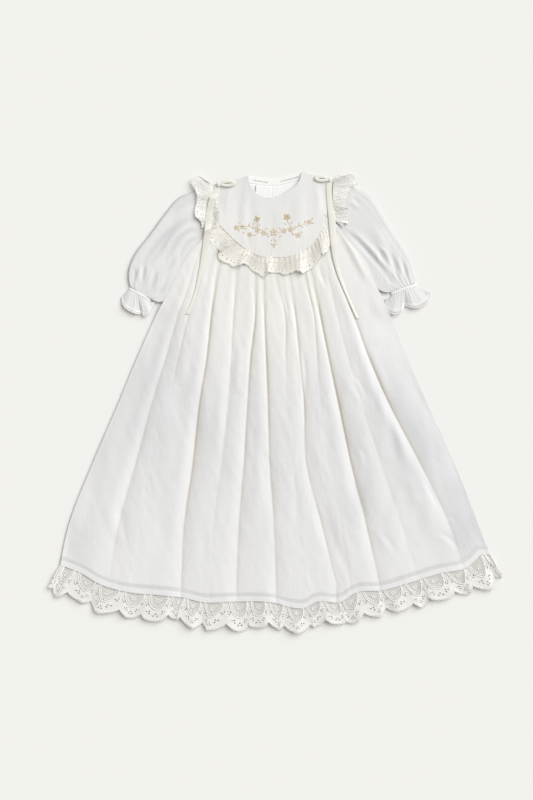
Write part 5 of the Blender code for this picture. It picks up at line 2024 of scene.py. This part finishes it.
@dataclass
class Sleeve:
    """A sheer sleeve that lies flat, with its gathered cuff and the frill with an eyelet edge."""

    side: Side
    stations: Rows
    edge: Rows
    creases: Rows
    # Painted shade on the sleeve: in the troughs of its folds, all over, at its sides and between the cuff frill's
    # lobes
    fold_tone: float = 3.6 * MM
    spread_tone: float = 0.06
    edge_tone: float = 0.7
    edge_share: float = 0.25
    lobe_tone: float = 0.9
    rim: float = 2.4 * MM
    lowest: float = 1.4 * MM
    fullness: float = 1.1
    side_share: float = 0.10
    rows: int = 76
    over: int = 56
    under: int = 14
    fold_count: int = 9
    fold_width: float = 0.036
    fold_height: float = 1.5 * MM
    band_length: float = 5.4 * MM
    band_height: float = 5.6 * MM
    band_tuck: float = 0.8 * MM
    band_rows: int = 9
    band_columns: int = 48
    puckers: int = 12
    frill_rows: int = 16
    frill_columns: int = 90
    frill_crown: float = 2.6 * MM
    frill_wave: float = 2.6 * MM
    frill_notch: float = 5 * MM
    eyelet_pitch: float = 3.6 * MM
    eyelet_radius: float = 1.5 * MM
    thickness: float = 0.35 * MM

    def tube(self, kind: str, finish: ClothFinish, over: Array, under_z: float,
             thin: Array | None = None) -> bpy.types.Object:
        """A cloth tube that lies flat: each ring goes over the upper layer's row and back along the surface.

        Args:
            kind: the piece's name without its side.
            finish: what it is made of.
            over: rows x columns x 3 points of the upper layer.
            under_z: height of the lower layer.
            thin: share of painted shade over the upper layer, if it has any.

        Returns:
            The dressed piece, with its outside outwards.
        """
        back = ruled(over[:, :1, :2], over[:, -1:, :2], np.linspace(1, 0, self.under + 2)[1:-1])
        rings = np.concatenate([over, raised(back, under_z)], axis=1)
        rows, columns, _ = rings.shape
        across, down = Surface(np.concatenate([rings, rings[:, :1]], axis=1)).lengths()
        row, column = face_corners(rows - 1, columns)
        quads, uvs = row * columns + column % columns, np.stack([across[column], down[row]], axis=-1)
        along, side = rings[-1].mean(axis=0) - rings[0].mean(axis=0), over[0, -1] - over[0, 0]
        if along[0] * side[1] < along[1] * side[0]:
            quads, uvs = quads[:, ::-1], uvs[:, ::-1]
        bag = MeshBag()
        bag.add(rings, quads, uvs)
        name = kind + "_" + self.side.value
        piece = wall(bag.build(name + "_cloth"), self.thickness)
        if thin is not None:
            paint(piece, "thin", np.pad(thin, ((0, 0), (0, self.under))))
        return dress(piece, finish, "organza", name)

    def gathers(self, along: Array, across: Array) -> Array:
        """Folds that run up from the cuff and down from the armhole, each with its own height and reach.

        A fold is a bell over the share across times a bell of the way from each end, to the power 1.6.

        Args:
            along: share of the way from the armhole to the cuff.
            across: share of the way from the outer to the inner side.

        Returns:
            Added height.
        """
        height = np.zeros(np.broadcast(along, across).shape)
        for fold in range(self.fold_count):
            shift, reach, size, lean = lattice(fold, np.arange(4), 41 + len(self.side.value))
            middle = (fold + 0.5 + 0.25 * shift) / self.fold_count + 0.03 * lean * (1 - along)
            at_cuff = bell((1 - along) / (0.24 + 0.12 * reach), 1.6)
            at_top = bell(along / (0.13 + 0.06 * size), 1.6)
            rise = (0.75 + 0.35 * size) * self.fold_height * (at_cuff + 0.5 * at_top)
            height += rise * bell((across - middle) / self.fold_width)
        return height

    def build(self) -> None:
        """Builds the sleeve, its cuff and the frill."""
        table = (through(self.stations, self.rows) * MM)[:, None]
        outer, inner, middle = table[..., 0:2], table[..., 2:4], table[..., 4]
        along, across = shares(self.rows)[:, None], rounded_shares(self.over)
        plan = ruled(outer, inner, across)
        crown = np.sin(np.pi * across)
        side = ease(crown / self.side_share)
        fullness = 1 + (self.fullness - 1) * np.sin(np.pi * np.clip(along * 1.05 + 0.02, 0, 1)) ** 0.6
        bulge = (middle - self.rim) * (0.85 * side + 0.15 * crown) * fullness
        x, y = plan[..., 0], plan[..., 1]
        folds = 0.85 * crease_field(self.creases, x, y) + 0.4 * MM * noise(x - y, x + y, 18 * MM, 46 * MM, 11)
        folds *= ease(along / 0.10) * ease((1 - along) / 0.02)
        folds = (folds + self.gathers(along, across)) * crown**0.5
        upper = np.maximum(self.rim * (0.35 + 0.65 * side) + bulge + folds, self.lowest)
        # Painted shade: darker in the troughs of the folds and at the sides, where the cloth turns down, lighter on
        # the ridges
        edge = self.edge_tone * (1 - ease(crown / self.edge_share))
        thin = self.spread_tone - folds / self.fold_tone + edge
        over = raised(plan, upper)
        sleeve = self.tube("sleeve", ORGANZA, over, 0.45 * MM, np.clip(thin, 0, 0.9))
        as_sheet(sleeve, (0.24, 0.225), 2.1 * Surface(over).area(), Held.LAID, ("back_skirt_cloth",))
        across = inner[-1, 0] - outer[-1, 0]
        width = float(np.linalg.norm(across))
        away = np.array([across[1], -across[0]]) / width
        away = -away if away[1] > 0 else away
        self.band(outer[-1, 0], across, away, width)
        self.frill(outer[-1, 0], across, away, width)

    def band(self, outer: Array, across: Array, away: Array, width: float) -> None:
        """Builds the gathered cuff band.

        Args:
            outer: the sleeve's last outer point in the plan.
            across: the step from it to the last inner point.
            away: the direction out of the sleeve.
            width: length of the step across.
        """
        share = rounded_shares(self.band_columns)
        down = np.linspace(-self.band_tuck, self.band_length + self.band_tuck, self.band_rows)
        plan = outer + across * share[:, None] + away * down[:, None, None]
        crown = np.sin(np.pi * share)
        roll = 0.8 + 0.2 * np.sin(np.pi * shares(self.band_rows))[:, None]
        pucker = 0.7 * MM * np.sin(FULL_TURN * self.puckers * share + 3 * wander(share, 0.15, 4))
        upper = self.band_height * roll * (0.4 + 0.6 * crown**0.5) + pucker * crown
        band = self.tube("cuff_band", ORGANZA_GATHERED, raised(plan, upper), 0.4 * MM)
        flat_size = (2.2 * width, 12 * MM)
        as_sheet(band, flat_size, 0.5 * flat_size[0] * flat_size[1], Held.GATHERED, ("back_skirt_cloth",))

    def frill(self, outer: Array, across: Array, away: Array, width: float) -> None:
        """Builds the frill below the cuff band, in two lobes, and its edging.

        Args:
            outer: the sleeve's last outer point in the plan.
            across: the step from it to the last inner point.
            away: the direction out of the sleeve.
            width: length of the step across.
        """
        share, down = rounded_shares(self.frill_columns), shares(self.frill_rows)[:, None]
        start = outer + across * share[:, None] + away * (self.band_length + 0.3 * MM)
        crown, lobes = np.sin(np.pi * share), np.abs(np.sin(FULL_TURN * share)) ** 0.6
        plan = ruled(start, through(self.edge, share) * MM, down)
        plan -= self.frill_notch * away * ((1 - lobes) * down**2)[..., None]
        waves = 2.2 * (lobes - 0.6) + 0.2 * np.cos(FULL_TURN * 5 * share + 1.0)
        rise = self.rim * 0.5 + self.frill_crown + self.frill_wave * waves * down
        upper = self.rim * 0.5 + rise * crown**0.5
        upper += 0.5 * MM * np.sin(FULL_TURN * self.puckers * share) * (1 - down) * crown
        face = Surface(raised(plan, np.maximum(upper, 1.3 * MM)))
        # Painted shade between the frill's lobes, deeper towards its free edge
        thin = np.clip(self.lobe_tone * (1 - lobes) * down**0.5, 0, 1)
        frill = self.tube("cuff_frill", ORGANZA, face.points, 0.4 * MM, thin)
        as_sheet(frill, (2.6 * width, 24 * MM), 1.7 * face.area(), Held.GATHERED,
                 ("cuff_band_" + self.side.value + "_cloth",), (self.edging(face),))

    def edging(self, face: Surface) -> bpy.types.Object:
        """The eyelet edging of the cuff frill: rings along the free edge, two cords and loops.

        Args:
            face: the frill's upper layer.

        Returns:
            The dressed edging.
        """
        bag = MeshBag()
        edge = face.points[-1]
        way = np.concatenate([[0], np.cumsum(np.linalg.norm(np.diff(edge, axis=0), axis=-1))])
        length = way[-1]
        middles = np.interp(np.arange(2.2 * MM, length - 1 * MM, self.eyelet_pitch), way, shares(len(way)))
        depth = np.interp(length / 2, way, np.linalg.norm(edge - face.points[0], axis=-1))
        angle = np.arange(10) * FULL_TURN / 10
        around = np.clip(middles[:, None] + self.eyelet_radius / length * np.cos(angle), 0, 1)
        down = 1.0 + (0.2 * MM + self.eyelet_radius * np.sin(angle)) / depth
        points, normals = face.locate(around, down, 0.25 * MM)
        tubes(bag, points, 0.75 * MM, 6, normals, closed=True, flat=0.6)
        line = shares(220)[None]
        loops = 1.9 * MM + 0.9 * MM * np.abs(np.sin(np.pi * length / self.eyelet_pitch * line))
        # Way out from the free edge, and lift and radius in mm, of the two cords and of the loops
        for out, lift, radius in ((-2.2 * MM, 0.2, 0.7), (-3.6 * MM, 0.2, 0.3), (loops, 0.15, 0.5)):
            points, normals = face.locate(line, 1.0 + out / depth, lift * MM)
            tubes(bag, points, radius * MM, 5, normals)
        return dress(bag.build("cuff_edging_" + self.side.value), WHITE_CORD, "organza")


# Ribbons


RIBBON_WIDTH = 12 * MM
# Stations down the tails: x of the left and the right edge, y, and a height that the tail stays near
LEFT_TAIL = (
    (-104, -93, 364, 4.3), (-109, -97, 353, 5.2), (-113, -101, 342, 7.6), (-117, -105, 328, 9.8),
    (-120.5, -108.5, 310, 10.8), (-121.5, -110, 290, 10.8), (-124, -112.5, 270, 10.8),
    (-127, -117, 245, 8.6), (-132, -124, 215, 0), (-137, -130, 190, 0), (-145, -139, 165, 0),
    (-153, -147, 147, 0),
)
RIGHT_TAIL = (
    (82, 92, 371, 4.3), (80.5, 91.5, 360, 5.2), (81, 92, 345, 7.6), (82.5, 94.5, 325, 9.8),
    (85, 96.5, 300, 10.8), (87, 97, 275, 10.8), (91, 100, 245, 8.6), (98, 105, 218, 0), (108, 114, 192, 0),
    (120, 125, 165, 0), (131, 136, 140, 0),
)


def ribbon(face: Surface, name: str, area: float, held: Held, rests_on: str) -> None:
    """Builds a length of satin ribbon on a surface, cut as long as its rows.

    Args:
        face: its surface.
        name: the plain solid's name.
        area: flat area.
        held: how it lies.
        rests_on: name of what it lies on.
    """
    piece = dress(face.cloth(name + "_satin", 0.35 * MM), CREAM_SATIN, "satin", name)
    as_sheet(piece, (RIBBON_WIDTH, float(face.lengths()[1][-1])), area, held, (rests_on,))


@dataclass
class RibbonTail:
    """The hanging end of a satin ribbon, over the yoke, its lace and the skirt."""

    side: Side
    stations: Rows
    form: SkirtForm
    supports: tuple[Surface, ...]
    rise: float = 1.1 * MM
    rows: int = 110
    columns: int = 9
    crown: float = 0.35 * MM
    lift: float = 0.7 * MM
    drop: float = 3.0 * MM
    tilt: float = 2.2 * MM

    def build(self) -> None:
        """Builds the tail: it bows across by a half sine, tilts where it is narrow and wavers as it goes."""
        left, right, y, guide = (through(self.stations, self.rows) * MM).T[..., None]
        share = shares(self.columns)
        x = left + (right - left) * share
        y = np.broadcast_to(y, x.shape)
        down = np.clip((self.form.waist_y - y) / self.form.length, 0, 1)
        on_skirt = (self.form.height(x, y, down) + self.rise).max(axis=1, keepdims=True)
        carried = np.max([support.under(x, y) for support in self.supports], axis=(0, 2))[:, None]
        carried = np.maximum(carried + self.lift, guide - self.drop)
        z = smooth_rows(np.maximum(carried, np.where(y < self.form.waist_y, on_skirt, 0)), 5)
        narrow = np.clip(1 - (right - left) / RIBBON_WIDTH, 0, 1)
        z = z + self.crown * np.sin(np.pi * share) + narrow * self.tilt * (0.5 - share)
        face = Surface(np.stack([x, y, z + 0.35 * MM * np.sin(y / (19 * MM))], axis=-1))
        ribbon(face, "ribbon_tail_" + self.side.value, face.area(), Held.LAID, "front_skirt_cloth")


@dataclass
class Bow:
    """A ribbon loop at a shoulder, turned back over itself, and the knot that holds it."""

    side: Side
    knot: tuple[float, float]
    end: tuple[float, float]
    half_width: float = 6.4 * MM
    slit: float = 0.14
    low_z: float = 6.0 * MM
    rise: float = 1.5 * MM
    knot_z: float = 7.2 * MM
    knot_size: tuple[float, float, float] = (7 * MM, 8.5 * MM, 1.3 * MM)
    steps: int = 64
    columns: int = 11

    def build(self) -> None:
        """Builds the loop and the knot.

        The loop is a ring of ribbon that lies on its edge: an oval from the knot outwards, whose section is
        an arch from the narrow eye in the middle over the top to the outer edge.
        """
        knot, reach = np.array(self.knot) * MM, (np.array(self.end) - self.knot) * MM
        ahead = unit(reach)
        side = np.array([-ahead[1], ahead[0]])
        turn, arch = np.linspace(0, FULL_TURN, self.steps)[:, None], shares(self.columns)
        grow = self.slit + (1 - self.slit) * arch
        out = np.linalg.norm(reach) / 2 * (1 - (0.35 + 0.65 * grow) * np.cos(turn))
        off = self.half_width * grow * np.sin(turn) * (0.45 + 0.55 * np.sin(turn / 2) ** 0.7)
        z = self.low_z + self.rise * np.sin(np.pi * (0.12 + 0.80 * arch)) * (0.75 + 0.25 * np.sin(turn))
        face = Surface(raised(knot + ahead * out[..., None] + side * off[..., None], z)[::-1])
        ribbon(face, "bow_loop_" + self.side.value, face.area() * 1.1, Held.FOLDED, "front_yoke_cloth")

        long, wide, high = self.knot_size
        bag = MeshBag()
        domes(bag, np.array([[*knot, self.knot_z - 0.35 * high]]), np.array([[*ahead, 0]]) * long / 2,
              np.array([[*side, 0]]) * wide / 2, np.array([[0, 0, high]]), 20, 0.0,
              (1.0, 0.97, 0.85, 0.65, 0.4, 0.15))
        name = "bow_knot_" + self.side.value
        dress(bag.build(name + "_satin"), CREAM_SATIN, "satin", name)


# The back panels


# Edges of the back panels in the plan
BACK_SHOULDER = (
    (-109, 360), (-90, 365.5), (-70, 371), (-51, 376.5), (-49.6, 367), (-30, 363.5), (-10, 361.5),
    (12, 365), (30, 369.5), (40.6, 374), (42, 383.5), (60, 379), (80, 374), (93, 369),
)
BACK_WAIST = ((-124, 262), (112, 262))
BACK_NECK = (
    (-48.6, 377.5), (-30, 374), (-10, 372), (12, 375.5), (30, 380), (40.6, 384.5),
)
PLACKET_TOP = ((-36, 363), (-23, 361.5), (-10, 360))
PLACKET_LOW = ((-36, 268), (-23, 268), (-10, 268))
# X, height and radius of the cords beside the placket
BACK_SEAMS = ((-8.2, 1.1, 0.3), (-35.6, 3.1, 0.5))


@dataclass
class Back:
    """The back panels, flat on the surface: skirt, lace, yoke, neck band with its beading, and placket."""

    form: SkirtForm
    level: float = 1.1 * MM
    inset: float = 5 * MM
    inset_at_sleeve: float = 12 * MM
    side_y: float = -250 * MM
    columns: int = 150
    rows: int = 90
    lace_share: float = 0.875
    lace_notch: float = 0.20
    lace_columns: int = 32
    lace_rows: int = 34
    band_depth: float = 10.4 * MM
    band_level: float = 1.25 * MM
    band_columns: int = 120
    band_rows: int = 14
    slot_down: float = 0.45

    def build(self) -> None:
        """Builds all the back panels."""
        plan = self.plan()
        x, y = plan[..., 0], plan[..., 1]
        ripple = 0.16 * MM * noise(x, y, 30 * MM, 90 * MM, 21) + 0.08 * MM * noise(x, y, 9 * MM, 20 * MM, 22)
        face = Surface(raised(plan, self.level + ripple - 0.1 * MM))
        skirt = dress(face.cloth("back_skirt_cloth", 0.9 * MM), BACK_BATISTE, "cotton", "back_skirt")
        as_sheet(skirt, (0.76, 0.60), face.area(), Held.LAID)
        self.lace(plan[-1])
        shoulder = through(BACK_SHOULDER, 6 * len(BACK_SHOULDER), np.interp) * MM
        waist = through(BACK_WAIST, len(shoulder), np.interp) * MM
        yoke, face = self.panel("back_yoke", shoulder, waist, 40, self.level, 0.9 * MM)
        as_sheet(yoke, (0.24, 0.125), face.area(), Held.LAID)
        self.neck_band()
        self.placket()

    def plan(self) -> Array:
        """Places of the back skirt in the plan, rows x columns x 2, inside the front's sides."""
        down = shares(self.rows)
        level = (self.form.waist_y - self.form.seam_gap) * (1 - down) + self.side_y * down
        on_sleeve = np.clip(self.form.on_sleeve(level), 0, 1)
        inset = self.inset + (self.inset_at_sleeve - self.inset) * on_sleeve
        lines = self.form.lines(level)
        left, right = (lines[0] + inset)[:, None], (lines[-1] - inset)[:, None]
        x = left + (right - left) * shares(self.columns)
        bottom = self.form.hem(x[-1]) + self.inset
        return np.stack([x, level[:, None] + (bottom - level[-1]) * down[:, None] ** 2], axis=-1)

    def lace(self, hem: Array) -> None:
        """Builds the lace below the back hem, flat on the surface.

        Args:
            hem: the back skirt's last row in the plan.
        """
        scallops = len(LACE_TIPS) - 1
        count = scallops * self.lace_columns + 1
        root = through(hem, count, np.interp) - np.array([0, self.form.seam_gap])
        reach = self.lace_share * notched(scallops * shares(count), self.lace_notch)
        plan = ruled(root, through(LACE_TIPS, count) * MM, shares(self.lace_rows)[:, None] * reach)
        surface = Surface(raised(plan, 0.75 * MM))
        lace = ScallopLace("back_hem_lace", surface, scallops, 35 * MM, 36 * MM, SCALLOP_STUFF)
        lace.decorate()
        lace.finish((0.80, 0.045))

    def panel(self, name: str, top: Array, bottom: Array, rows: int, height: float, thickness: float,
              keep: Array | None = None) -> tuple[bpy.types.Object, Surface]:
        """A flat panel between two edges with a little unevenness.

        Args:
            name: the plain solid's name.
            top: upper edge in the plan.
            bottom: lower edge in the plan.
            rows: rows of points.
            height: height of its upper face.
            thickness: its wall.
            keep: for each face, whether it stays.

        Returns:
            The dressed piece and its surface.
        """
        plan = ruled(top, bottom, shares(rows)[:, None])
        z = height + 0.1 * MM * noise(plan[..., 0], plan[..., 1], 14 * MM, 26 * MM, 23)
        face = Surface(raised(plan, z))
        return dress(face.cloth(name + "_cloth", thickness, keep), BACK_BATISTE, "cotton", name), face

    def neck_band(self) -> None:
        """Builds the neck band, with a row of small oval slots that have corded rims."""
        neck = through(BACK_NECK, self.band_columns) * MM
        below = neck - np.array([0, self.band_depth])
        slots = np.concatenate([np.arange(0.10, 0.34, 0.038), np.arange(0.54, 0.90, 0.036)])
        across, down = face_middles(self.band_rows, self.band_columns)
        off_slot = [((across - slot) * 100) ** 2 + ((down - self.slot_down) * 19.2) ** 2 > 1
                    for slot in slots]
        band, face = self.panel("back_neck_band", neck, below, self.band_rows, self.band_level, 1.1 * MM,
                                np.all(off_slot, axis=0))
        angle = np.arange(8) * FULL_TURN / 8
        around = slots[:, None] + 1.15 / 90 * np.cos(angle)
        along = self.slot_down + 0.95 / 9.6 * np.sin(angle)
        points, normals = face.locate(around, along, 0.1 * MM)
        bag = MeshBag()
        tubes(bag, points, 0.2 * MM, 4, normals, closed=True)
        rims = dress(bag.build("back_neck_beading"), WHITE_THREAD, "cotton")
        as_sheet(band, (0.1, 0.012), face.area(), Held.LAID, ("back_yoke_cloth",), (rims,))

    def placket(self) -> None:
        """Builds the placket, and the cords of the centre seam and of the placket's edge."""
        top, low = through(PLACKET_TOP, 24) * MM, through(PLACKET_LOW, 24) * MM
        placket, face = self.panel("back_placket", top, low, 60, 3.1 * MM, 0.9 * MM)
        bag = MeshBag()
        for x, height, radius in BACK_SEAMS:
            line = through(((x, 360, height), (x, 268, height)), 40, np.interp) * MM
            tubes(bag, line[None], radius * MM, 6)
        seams = dress(bag.build("back_seams"), WHITE_THREAD, "cotton")
        as_sheet(placket, (0.026, 0.094), face.area(), Held.FOLDED, ("back_yoke_cloth",), (seams,))


# Floor, light and camera


@dataclass(frozen=True)
class Stage:
    """The pale floor, the soft light from the upper right, and the camera straight over the gown."""

    half_floor: float = 7.0
    floor_drop: float = 0.2 * MM
    floor_colour: tuple[int, int, int] = (238, 237, 234)
    centre: tuple[float, float] = (-0.0183, 0.005)
    camera_height: float = 3.0
    view_height: float = 1.3333
    sensor: float = 36.0
    sky: float = 0.44
    sky_colour: tuple[float, float, float] = (1.0, 0.97, 0.93)
    key_place: tuple[float, float, float] = (0.72, 0.60, 0.92)
    key_spread: float = 0.95
    key_power: float = 2.76
    key_colour: tuple[float, float, float] = (0.975, 1.0, 1.01)

    def build(self) -> None:
        """Builds the floor, the lights and the camera."""
        self.floor()
        self.lights()
        self.camera()

    def floor(self) -> None:
        """A wide plain floor just under the gown."""
        corners = self.half_floor * np.array([[(-1, 1), (1, 1)], [(-1, -1), (1, -1)]])
        floor = Surface(raised(corners, -self.floor_drop)).cloth("floor")
        material = bpy.data.materials.new("pale floor")
        material.use_nodes = True
        look = {"Base Color": linear(self.floor_colour), "Roughness": 0.9, "Specular IOR Level": 0.1}
        Graph(material.node_tree).fill(material.node_tree.nodes["Principled BSDF"], look)
        floor.data.materials.append(material)
        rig.stage(floor)

    def lights(self) -> None:
        """Even light from all round and one wide, distant lamp whose light is the same all over."""
        world = bpy.data.worlds.new("studio")
        world.use_nodes = True
        look = {"Color": (*self.sky_colour, 1), "Strength": self.sky}
        Graph(world.node_tree).fill(world.node_tree.nodes["Background"], look)
        bpy.context.scene.world = world
        lamp = bpy.data.lights.new("key", "SUN")
        lamp.angle, lamp.energy, lamp.color = self.key_spread, self.key_power, self.key_colour
        key = bpy.data.objects.new("key", lamp)
        key.location = self.key_place
        key.rotation_euler = (-Vector(self.key_place)).to_track_quat("-Z", "Y").to_euler()
        bpy.context.scene.collection.objects.link(key)

    def camera(self) -> None:
        """A camera that looks straight down, whose picture is as high as the view height at the floor."""
        scene = bpy.context.scene
        data = bpy.data.cameras.new("camera")
        data.sensor_width = self.sensor
        data.lens = self.sensor * self.camera_height / self.view_height
        scene.camera = bpy.data.objects.new("camera", data)
        scene.camera.location = (*self.centre, self.camera_height)
        scene.collection.objects.link(scene.camera)
        scene.view_settings.view_transform = "Standard"
        scene.view_settings.look = "None"


def corners_of(box: tuple) -> list[list[float]]:
    """A box's two corners as plain lists."""
    return [[float(value) for value in corner] for corner in box]


def main() -> None:
    """Builds the gown from the surface up, reports each piece and writes the two boxes."""
    logging.basicConfig(level=logging.INFO, format="%(name)s %(message)s")
    solid_box = corners_of(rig.bounds())
    Stage().build()
    form = SkirtForm()
    skirt = Skirt(form)
    Back(form).build()
    skirt.build()
    HemLace(skirt).build()
    yoke = Yoke(form).build()
    Embroidery(yoke).build()
    yoke_lace = Frill("yoke_lace", YOKE_FRILL, 7.7 * MM, 30 * MM, 26, YOKE_STUFF, "front_skirt_cloth",
                      (0.46, 0.034)).build()
    low = {"flute": 1.3 * MM, "curl": 3 * MM, "gather_height": 0.2 * MM}
    Frill("shoulder_lace_left", LEFT_SHOULDER_FRILL, 6.4 * MM, 20 * MM, 8, SHOULDER_STUFF,
          "sleeve_left_cloth", (0.15, 0.028), tuck=7 * MM, **low).build()
    Frill("shoulder_lace_right", RIGHT_SHOULDER_FRILL, 6.4 * MM, 22 * MM, 9, SHOULDER_STUFF,
          "sleeve_right_cloth", (0.16, 0.03), tuck=6 * MM, **low).build()
    Sleeve(Side.LEFT, LEFT_SLEEVE, LEFT_CUFF_EDGE, LEFT_SLEEVE_CREASES).build()
    Sleeve(Side.RIGHT, RIGHT_SLEEVE, RIGHT_CUFF_EDGE, RIGHT_SLEEVE_CREASES, fold_tone=12 * MM).build()
    for side, tail in ((Side.LEFT, LEFT_TAIL), (Side.RIGHT, RIGHT_TAIL)):
        RibbonTail(side, tail, form, (yoke, yoke_lace)).build()
    Bow(Side.LEFT, (-98, 364), (-69, 366)).build()
    Bow(Side.RIGHT, (87, 372), (61, 374)).build()
    with open(SIZE_FILE, "w") as file:
        json.dump({"cad": solid_box, "visual": corners_of(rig.bounds())}, file)


if __name__ == "__main__":
    main()
